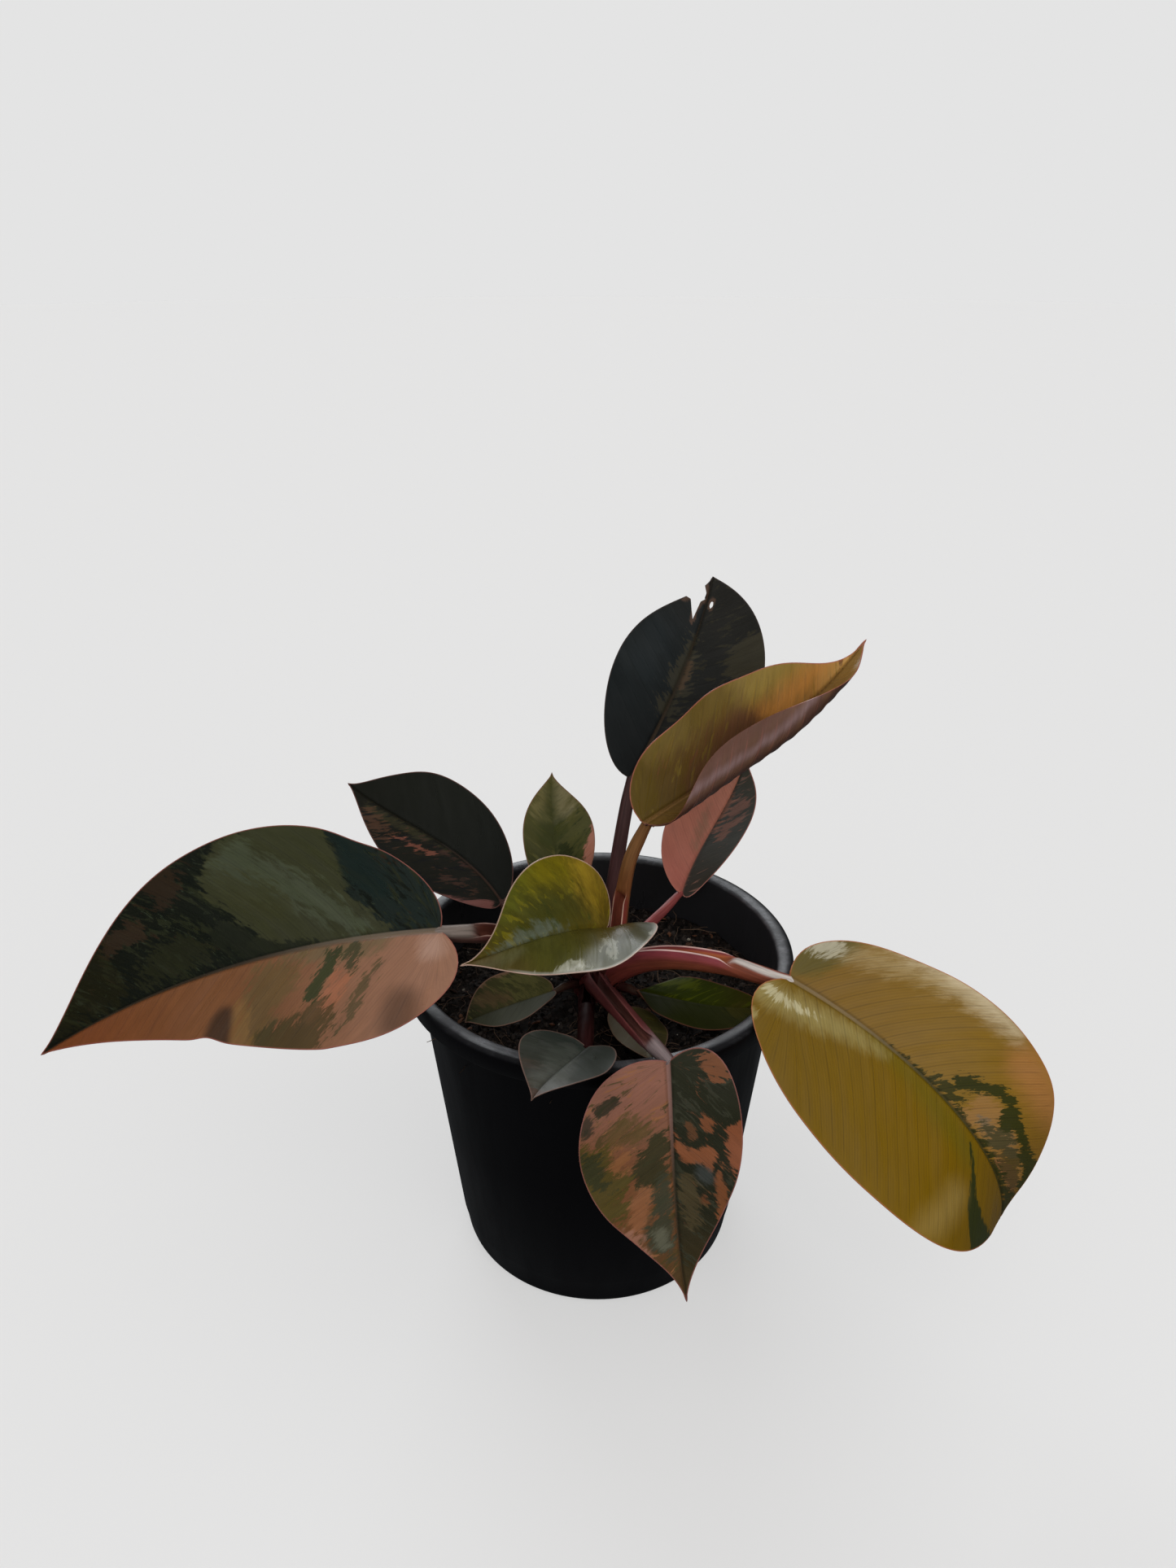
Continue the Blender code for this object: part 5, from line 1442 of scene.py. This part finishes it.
# Leaf at the back right
# A narrow leaf that rises behind the crown, pinkish red on its left half and grey-green on its right one.
grow_leaf(
    "back_right",
    shape=dict(
        base=(33.0, 37.3, 121.2), tip=(57.1, 52.6, 174.3), arch=(-3.6, 2.6), sway=(-2.1, 3.6),
        faces=((288, 29), (283, 31)), width=(18.7, 11.6), fold=(12, 13), cup=(0, 0), wave=(0.4, 0.2),
        waves=(2.0, 2.0), phase=(0.07, 0.64), rib=2.0, fine=MIDDLE,
        left=(0.0, 0.31, 0.22, 0.42, 0.27, 0.16, 0.1), right=(0.1, 0.41, 0.27, 0.54, 0.32, 0.14, 0.11),
    ),
    stalk=dict(
        start=(4.5, 4.5, 107.0), pulls=((14.0, 16.0, 116.0), (22.0, 25.0, 117.0)), radius=(2.5, 1.6),
        opens="up", tones=((104, 44, 44), (134, 60, 60), (134, 66, 64)),
    ),
    look=dict(
        left=((142, 88, 78), (144, 94, 80), (130, 86, 70)),
        right=((40, 36, 30), (52, 53, 50), (44, 42, 32)), rib=((110, 66, 56), (56, 46, 38), 0.5),
        edge=(150, 98, 88), back=(84, 54, 46), vein_gap=5.0, lift=1.7, rib_show=0.4,
        flecks=((1, (96, 70, 60), 2.4, 0.04),),
        patches=(
            ((94, 78, 62), 2.4, 2.0, 0.6, (
                (0.3, -0.1), (0.45, -0.14), (0.6, -0.3), (0.52, -0.36), (0.33, -0.2))),
            ((104, 72, 62), 0.6, 3.6, 0.65, (
                (0.42, 0.3), (0.56, 0.2), (0.72, 0.4), (0.66, 0.62), (0.5, 0.5))),
            ((110, 74, 60), 0.8, 2.0, 0.7, ((0.5, -0.02), (0.7, -0.02), (0.7, 0.1), (0.5, 0.1))),
        ),
    ),
)


# Large right leaf
# The golden leaf that arches over the right edge of the pot. A broken ring of dark green with salmon pink
# inside it fills its far half.
grow_leaf(
    "right_large",
    shape=dict(
        base=(64.1, -29.4, 127.9), tip=(140.4, -51.6, 42.3), arch=(18.5, 43.9), sway=(-7.5, 2.4),
        faces=((290, 53), (298, 28)), width=(38.0, 46.9), fold=(16, 18), cup=(-22, -14), wave=(0.8, 0.6),
        waves=(2.5, 2.5), phase=(0.24, 0.69), rib=2.4, fine=LARGE,
        left=(0.08, 0.57, 0.29, 0.57, 0.3, 0.14, 0.1), right=(0.18, 0.32, 0.33, 0.38, 0.46, 0.12, 0.12),
    ),
    stalk=dict(
        start=(4.5, -2.5, 110.0), pulls=((18.0, -7.0, 128.0), (42.0, -21.0, 128.0)), radius=(4.6, 3.0),
        sheath=0.7, wing=0.25, opens="up", tilt=-26.0, pale=(0.04, 0.1), pale_below=0.0,
        fades=(0.66, 0.76), flush=(134, 56, 68),
        tones=((122, 56, 48), (124, 64, 46), (186, 178, 172), (172, 100, 60), (226, 196, 190)),
    ),
    look=dict(
        left=((122, 93, 38), (126, 97, 36), (124, 92, 40)),
        right=((108, 84, 26), (113, 87, 20), (112, 86, 24)), rib=((126, 108, 76), (72, 66, 34), 0.8),
        edge=(166, 104, 74), back=(112, 84, 44), mottle=0.05, veins=0.15, vein_gap=5.0, lift=1.15,
        wax=0.45, blotch=0.03, grain=0.15,
        patches=(
            ((88, 82, 36), 3.0, 1.6, 0.8, (
                (-0.13, -0.12), (0.02, -0.06), (0.1, -0.45), (0.08, -0.75), (-0.12, -0.7))),
            # Painted highlights: a glint on the far lobe and a sheen band on the far half.
            ((196, 192, 172), 1.8, 2.6, 0.55, (
                (0.01, -0.32), (0.01, -0.48), (0.06, -0.54), (0.09, -0.46), (0.06, -0.37))),
            ((168, 150, 110), 4.0, 2.4, 0.5, (
                (0.09, -0.4), (0.11, -0.58), (0.2, -0.74), (0.3, -0.86), (0.42, -0.92), (0.42, -0.82),
                (0.28, -0.66), (0.16, -0.5))),
            ((158, 112, 68), 6.0, 0.8, 0.8, ((0.56, -0.66), (0.74, -0.62), (0.82, -0.85), (0.6, -1.0))),
            # Painted sheen along the far margin.
            ((190, 176, 146), 6.0, 1.6, 0.92, (
                (0.02, -0.76), (0.1, -0.8), (0.3, -0.82), (0.5, -0.88), (0.52, -0.99), (0.25, -1.03),
                (0.03, -0.95))),
            ((142, 106, 60), 1.5, 2.4, 0.9, (
                (0.5, -0.02), (0.55, -0.12), (0.56, -0.3), (0.62, -0.38), (0.72, -0.36), (0.84, -0.3),
                (0.9, -0.16), (0.84, -0.03), (0.7, -0.02), (0.58, -0.01))),
            ((112, 98, 78), 1.0, 3.2, 0.75, (
                (0.6, -0.16), (0.66, -0.2), (0.7, -0.3), (0.77, -0.27), (0.77, -0.16), (0.7, -0.08),
                (0.64, -0.07))),
            ((144, 100, 68), 0.7, 3.0, 0.9, (
                (0.72, -0.03), (0.75, -0.14), (0.82, -0.19), (0.89, -0.18), (0.9, -0.09), (0.81, -0.03))),
            ((52, 52, 17), 0.3, 2.2, 1.0, (
                (0.468, -0.2), (0.488, -0.26), (0.512, -0.34), (0.54, -0.39), (0.57, -0.44), (0.6, -0.48),
                (0.63, -0.51), (0.66, -0.48), (0.69, -0.45), (0.735, -0.43), (0.78, -0.41), (0.84, -0.43),
                (0.9, -0.46), (0.95, -0.44), (0.97, -0.3), (0.9, -0.18), (0.86, -0.25), (0.82, -0.28),
                (0.776, -0.29), (0.74, -0.31), (0.7, -0.33), (0.68, -0.26), (0.655, -0.23), (0.64, -0.28),
                (0.63, -0.37), (0.6, -0.37), (0.572, -0.33), (0.544, -0.26), (0.524, -0.18),
                (0.504, -0.12))),
            ((54, 53, 19), 0.3, 3.4, 0.95, (
                (0.36, -0.01), (0.42, -0.04), (0.46, -0.1), (0.49, -0.14), (0.52, -0.14), (0.55, -0.1),
                (0.54, -0.02), (0.46, -0.01))),
            ((54, 54, 24), 0.3, 5.0, 0.75, (
                (0.63, -0.08), (0.66, -0.22), (0.72, -0.3), (0.8, -0.28), (0.88, -0.2), (0.92, -0.12),
                (0.86, -0.05), (0.74, -0.05))),
            ((56, 53, 20), 0.5, 1.4, 0.9, (
                (0.25, 0.0), (0.5, -0.02), (0.7, -0.025), (0.93, -0.03), (0.9, 0.02), (0.5, 0.01))),
            ((50, 50, 18), 0.6, 2.2, 0.95, (
                (0.6, 0.0), (0.68, -0.04), (0.78, -0.06), (0.86, -0.08), (0.95, -0.14), (0.98, -0.04),
                (0.9, 0.0))),
            ((98, 88, 24), 5.0, 0.8, 0.6, (
                (0.25, 0.02), (0.3, 0.1), (0.6, 0.25), (0.66, 0.1), (0.5, 0.01))),
            ((46, 50, 18), 0.4, 1.2, 1.0, (
                (0.62, 0.07), (0.652, 0.13), (0.684, 0.2), (0.72, 0.27), (0.764, 0.31), (0.84, 0.32),
                (0.94, 0.28), (0.93, 0.42), (0.868, 0.56), (0.816, 0.68), (0.8, 0.57), (0.752, 0.49),
                (0.72, 0.41), (0.696, 0.31), (0.67, 0.22))),
            ((142, 120, 68), 5.0, 0.5, 0.7, (
                (0.63, 0.42), (0.68, 0.36), (0.7, 0.45), (0.69, 0.65), (0.664, 0.83), (0.61, 0.92),
                (0.6, 0.8), (0.62, 0.57))),
            # Painted sheen and glints on the near half by the midrib and on its lobe.
            ((150, 138, 88), 4.0, 1.4, 0.65, (
                (-0.07, 0.14), (0.05, 0.1), (0.2, 0.05), (0.3, 0.08), (0.24, 0.18), (0.12, 0.28),
                (0.02, 0.33), (-0.07, 0.3))),
            ((196, 190, 158), 0.9, 2.0, 0.6, (
                (-0.04, 0.15), (0.03, 0.17), (0.12, 0.17), (0.03, 0.25), (-0.04, 0.22))),
            ((176, 168, 120), 1.2, 1.6, 0.5, ((-0.1, 0.44), (-0.05, 0.4), (-0.04, 0.52), (-0.09, 0.58))),
        ),
    ),
)


# Front leaf
# The leaf that hangs down the front of the pot, dusty pink to salmon on the left as seen from the front
# and dark green with salmon blotches on the right.
grow_leaf(
    "front",
    shape=dict(
        base=(20.8, -71.9, 127.3), tip=(28.3, -88.3, 43.7), arch=(5.4, -1.2), sway=(0.6, 2.3),
        faces=((268, 30), (266, 15)), width=(21.9, 29.0), fold=(6, 8), cup=(-14, -17), wave=(0.8, 1.0),
        waves=(2.5, 2.5), phase=(-0.02, 0.64), rib=2.2, fine=LARGE,
        left=(0.11, 0.47, 0.34, 0.3, 0.26, 0.18, 0.1), right=(0.05, 0.43, 0.29, 0.36, 0.3, 0.24, 0.09),
    ),
    stalk=dict(
        start=(-1.0, -4.5, 109.0), pulls=((-3.0, -18.0, 119.0), (9.0, -48.0, 127.0)), radius=(4.0, 2.5),
        sheath=0.84, wing=0.3, opens="up", mouth=0.45, fades=(0.76, 0.9), flush=(88, 40, 40),
        tones=((78, 38, 36), (76, 36, 35), (120, 106, 106), (104, 64, 56), (114, 64, 62)),
    ),
    look=dict(
        left=((39, 40, 27), (36, 37, 25), (62, 51, 29)),
        right=((134, 92, 77), (116, 77, 51), (74, 58, 33)), rib=((132, 100, 92), (66, 56, 42), 0.7),
        edge=(140, 90, 84), back=(80, 54, 44), vein_gap=6.0, lift=1.15,
        flecks=(
            (0, (96, 64, 44), 2.4, 0.05), (0, (54, 55, 42), 4.0, 0.1), (1, (74, 64, 36), 3.2, 0.1),
            (1, (142, 96, 66), 3.0, 0.08),
        ),
        patches=(
            ((118, 74, 48), 0.5, 3.4, 0.9, (
                (-0.03, -0.5), (0.02, -0.46), (0.06, -0.6), (0.07, -0.85), (0.0, -0.9))),
            ((126, 78, 52), 0.5, 1.2, 1.0, (
                (0.25, -0.04), (0.29, -0.08), (0.32, -0.16), (0.335, -0.3), (0.33, -0.48), (0.35, -0.6),
                (0.42, -0.58), (0.42, -0.48), (0.395, -0.4), (0.395, -0.25), (0.38, -0.12), (0.32, -0.05))),
            ((120, 74, 48), 0.5, 1.4, 0.95, (
                (0.2, -0.42), (0.21, -0.54), (0.265, -0.6), (0.27, -0.48), (0.24, -0.42))),
            ((96, 64, 42), 0.5, 1.6, 0.8, ((0.23, -0.22), (0.28, -0.22), (0.29, -0.34), (0.25, -0.34))),
            ((128, 78, 54), 0.6, 1.6, 1.0, (
                (0.25, -0.82), (0.25, -1.1), (0.42, -1.1), (0.44, -0.9), (0.4, -0.78), (0.34, -0.76),
                (0.3, -0.78))),
            ((118, 74, 48), 0.5, 1.4, 0.95, (
                (0.4, -0.7), (0.45, -0.68), (0.52, -0.74), (0.6, -0.7), (0.66, -0.62), (0.56, -0.62),
                (0.48, -0.6), (0.42, -0.62))),
            ((104, 66, 42), 0.5, 1.4, 0.85, ((0.52, -0.34), (0.56, -0.36), (0.56, -0.46), (0.52, -0.45))),
            ((76, 66, 44), 1.0, 2.6, 0.8, (
                (0.44, -0.12), (0.62, -0.1), (0.66, -0.3), (0.5, -0.36), (0.44, -0.26))),
            # Painted sheen: grey-blue spots on the dark half.
            ((60, 64, 62), 1.6, 1.6, 0.8, ((0.4, -0.32), (0.42, -0.52), (0.47, -0.5), (0.46, -0.34))),
            ((42, 42, 28), 0.6, 2.0, 0.9, ((0.11, 0.6), (0.14, 0.54), (0.19, 0.68), (0.17, 0.8))),
            ((46, 44, 34), 0.8, 1.6, 0.85, ((0.19, 0.84), (0.26, 0.84), (0.27, 1.05), (0.2, 1.05))),
            ((90, 72, 42), 2.0, 4.0, 0.85, (
                (0.2, 0.3), (0.26, 0.2), (0.32, 0.44), (0.3, 0.75), (0.23, 0.7))),
            ((54, 52, 32), 0.8, 3.0, 0.95, (
                (0.26, 0.04), (0.28, 0.24), (0.36, 0.38), (0.46, 0.46), (0.5, 0.3), (0.44, 0.1),
                (0.33, 0.04))),
            ((80, 70, 34), 1.2, 4.2, 0.95, (
                (0.34, 0.62), (0.34, 1.05), (0.6, 1.05), (0.62, 0.62), (0.5, 0.48))),
            ((52, 54, 34), 0.8, 3.4, 0.85, ((0.36, 0.78), (0.36, 0.95), (0.46, 0.95), (0.48, 0.72))),
            ((134, 90, 60), 0.8, 2.4, 0.9, (
                (0.3, 0.56), (0.33, 0.44), (0.4, 0.52), (0.43, 0.66), (0.38, 0.66))),
            ((136, 92, 64), 0.8, 2.0, 0.95, (
                (0.48, 0.26), (0.5, 0.4), (0.62, 0.5), (0.68, 0.42), (0.6, 0.3), (0.52, 0.22))),
            ((60, 61, 46), 1.2, 2.6, 0.95, (
                (0.44, 0.08), (0.5, 0.2), (0.6, 0.26), (0.7, 0.34), (0.76, 0.26), (0.8, 0.1), (0.6, 0.03))),
            # Painted sheen: a pale spot on the pink half.
            ((100, 100, 84), 1.5, 1.6, 0.7, ((0.66, 0.16), (0.7, 0.26), (0.77, 0.18), (0.74, 0.1))),
            ((152, 110, 92), 1.5, 2.0, 0.85, (
                (0.68, 0.45), (0.74, 0.4), (0.86, 0.3), (0.84, 0.9), (0.68, 0.9))),
        ),
    ),
)


# Small front leaf
# A grey-green young leaf that lies over the pot's front edge, left of the front leaf, on a winged stalk.
grow_leaf(
    "front_small",
    shape=dict(
        base=(-4.1, -59.4, 123.0), tip=(-20.4, -84.5, 123.0), arch=(1.5, 1.8), sway=(-0.8, 1.4),
        faces=((263, 78), (248, 66)), width=(15.3, 16.3), fold=(23, 13), cup=(-5, -7), wave=(0.2, 0.0),
        waves=(2.0, 2.0), phase=(0.11, 0.6), rib=1.5, fine=SMALL,
        left=(0.13, 0.47, 0.32, 0.37, 0.26, 0.18, 0.1), right=(0.11, 0.48, 0.32, 0.4, 0.29, 0.18, 0.1),
    ),
    stalk=dict(
        start=(-3.0, -5.0, 107.5), pulls=((-4.5, -20.0, 112.5), (-4.0, -44.0, 119.0)), radius=(3.0, 2.6),
        sheath=0.4, wing=0.25, opens="up", mouth=0.5, gloss=0.04, flush=(38, 18, 18),
        tones=((30, 13, 13), (38, 17, 17), (40, 18, 18), (30, 14, 14), (50, 27, 26)),
    ),
    look=dict(
        left=((42, 46, 41), (47, 50, 45), (48, 42, 35)), right=((39, 44, 40), (44, 46, 40), (54, 47, 38)),
        rib=((62, 60, 50), (52, 52, 46), 0.5), edge=(104, 82, 74), back=(62, 48, 42), vein_gap=4.5,
        rib_show=0.1, grain=0.1, wax=0.25, lift=1.1, flecks=((1, (52, 54, 50), 3.5, 0.14),),
        patches=(
            ((62, 50, 42), 2.0, 2.4, 0.5, ((0.6, 0.3), (0.66, 0.28), (0.76, 0.5), (0.68, 0.62))),
            # Painted sheen: the three pale grey patches.
            ((80, 82, 76), 3.0, 1.4, 0.6, ((0.4, 0.0), (0.5, 0.16), (0.7, 0.3), (0.92, 0.1), (0.9, 0.0))),
            ((82, 84, 78), 3.0, 1.8, 0.6, (
                (0.3, 0.0), (0.4, -0.2), (0.62, -0.4), (0.84, -0.3), (0.92, 0.0))),
            ((64, 68, 62), 3.0, 2.4, 0.5, ((0.15, 0.12), (0.3, 0.45), (0.52, 0.34), (0.44, 0.06))),
            ((66, 50, 42), 0.8, 1.0, 0.8, ((0.88, -0.4), (0.88, 0.4), (1.05, 0.2), (1.05, -0.2))),
        ),
    ),
)


# Small left leaf
# A young leaf low on the left, olive above its midrib with a pink margin and greyer below it.
grow_leaf(
    "left_small",
    shape=dict(
        base=(-15.7, -14.4, 112.5), tip=(-46.6, -22.3, 104.5), arch=(0.5, 0.8), sway=(0.0, 0.4),
        faces=((275, 85), (272, 53)), width=(10.9, 12.5), fold=(21, 14), cup=(2, -4), wave=(0.4, 0.2),
        waves=(2.0, 2.0), phase=(0.04, 0.61), rib=1.5, fine=SMALL,
        left=(0.09, 0.41, 0.28, 0.42, 0.29, 0.13, 0.11), right=(0.08, 0.43, 0.29, 0.47, 0.34, 0.05, 0.12),
    ),
    stalk=dict(
        start=(-5.0, -3.0, 107.5), pulls=((-8.0, -7.0, 110.0), (-11.0, -11.0, 112.5)), radius=(1.8, 1.2),
        opens="up", tones=((32, 17, 16), (54, 30, 26), (64, 46, 34)),
    ),
    look=dict(
        left=((66, 67, 57), (60, 61, 52), (48, 50, 38)), right=((66, 64, 36), (56, 55, 33), (40, 40, 26)),
        rib=((64, 60, 38), (48, 48, 34), 0.4), edge=(112, 86, 74), back=(60, 46, 38), vein_gap=4.0,
        rib_show=0.3, lift=1.45, wax=0.05, grain=0.2, shine=0.5,
        flecks=((1, (74, 72, 42), 2.0, 0.1), (1, (44, 48, 27), 2.0, 0.07)),
        patches=(
            ((82, 80, 46), 0.8, 3.0, 0.7, (
                (0.12, 0.5), (0.3, 0.5), (0.5, 0.65), (0.45, 0.86), (0.2, 0.85))),
            ((78, 62, 44), 1.4, 3.0, 0.6, (
                (0.42, 0.12), (0.6, 0.08), (0.84, 0.4), (0.8, 0.62), (0.62, 0.56), (0.5, 0.3))),
            ((104, 78, 64), 0.8, 1.2, 0.75, (
                (0.06, 0.66), (0.3, 0.88), (0.56, 0.92), (0.78, 0.74), (0.76, 0.9), (0.5, 1.12),
                (0.15, 1.1))),
        ),
    ),
)


# Small right leaf
# A narrow young leaf low on the right that widens straight out of its short stalk.
grow_leaf(
    "right_small",
    shape=dict(
        base=(13.4, -12.2, 111.3), tip=(56.9, -24.8, 112.9), arch=(1.9, 0.9), sway=(2.4, 4.5),
        faces=((278, 76), (281, 57)), width=(10.6, 11.9), fold=(3, 14), cup=(-11, -1), wave=(0.2, 0.6),
        waves=(2.0, 2.0), phase=(0.17, 0.58), rib=1.5, fine=SMALL,
        left=(-0.12, 0.07, 0.27, 0.39, 0.27, 0.0, 0.51), right=(-0.09, 0.1, 0.28, 0.44, 0.29, 0.03, 0.5),
    ),
    stalk=dict(
        start=(5.0, -3.0, 107.5), pulls=((8.0, -8.0, 109.5), (10.5, -10.5, 110.5)), radius=(2.0, 1.5),
        opens="up", tones=((34, 17, 16), (62, 32, 30), (56, 36, 28)),
    ),
    look=dict(
        left=((32, 38, 11), (36, 42, 10), (46, 44, 16)), right=((28, 31, 16), (30, 33, 14), (40, 40, 18)),
        rib=((56, 50, 24), (40, 44, 14), 0.4), edge=(92, 62, 54), back=(48, 36, 28), vein_gap=4.5,
        rib_show=0.2, wax=0.05, rich=1.15, shine=0.5, lift=1.25, flecks=((0, (58, 64, 14), 3.0, 0.1),),
        patches=(
            ((58, 64, 14), 0.8, 2.4, 0.85, (
                (0.1, -0.5), (0.2, -0.4), (0.46, -0.6), (0.44, -0.9), (0.2, -0.85))),
            ((52, 48, 20), 1.2, 2.0, 0.5, ((0.75, -0.2), (0.75, 0.3), (0.95, 0.15), (0.95, -0.1))),
        ),
    ),
)


# Low front leaf
# The smallest leaf, just over the soil in front of the stem, pale grey-green on its outer half.
grow_leaf(
    "front_low",
    shape=dict(
        base=(10.0, -19.8, 109.2), tip=(18.9, -47.4, 107.6), arch=(0.6, -0.7), sway=(1.4, 0.6),
        faces=((304, 67), (298, 65)), width=(10.8, 9.3), fold=(3, 7), cup=(-11, -6), wave=(0.3, 0.3),
        waves=(2.0, 2.0), phase=(0.13, 0.58), rib=1.5, fine=SMALL,
        left=(0.09, 0.44, 0.29, 0.41, 0.3, 0.1, 0.2), right=(0.1, 0.45, 0.3, 0.4, 0.29, 0.1, 0.2),
    ),
    stalk=dict(
        start=(3.5, -5.5, 106.8), pulls=((6.0, -10.0, 108.5), (8.5, -15.0, 109.5)), radius=(1.8, 1.2),
        opens="up", tones=((32, 17, 16), (56, 30, 28), (64, 42, 36)),
    ),
    look=dict(
        left=((44, 41, 22), (42, 39, 20), (42, 38, 20)), right=((70, 66, 54), (72, 67, 55), (58, 52, 36)),
        rib=((60, 52, 38), (44, 42, 26), 0.4), edge=(88, 68, 56), back=(50, 40, 32), vein_gap=4.0,
        rib_show=0.3, wax=0.3, lift=1.5, flecks=((0, (54, 50, 24), 2.4, 0.12),),
        patches=(),
    ),
)
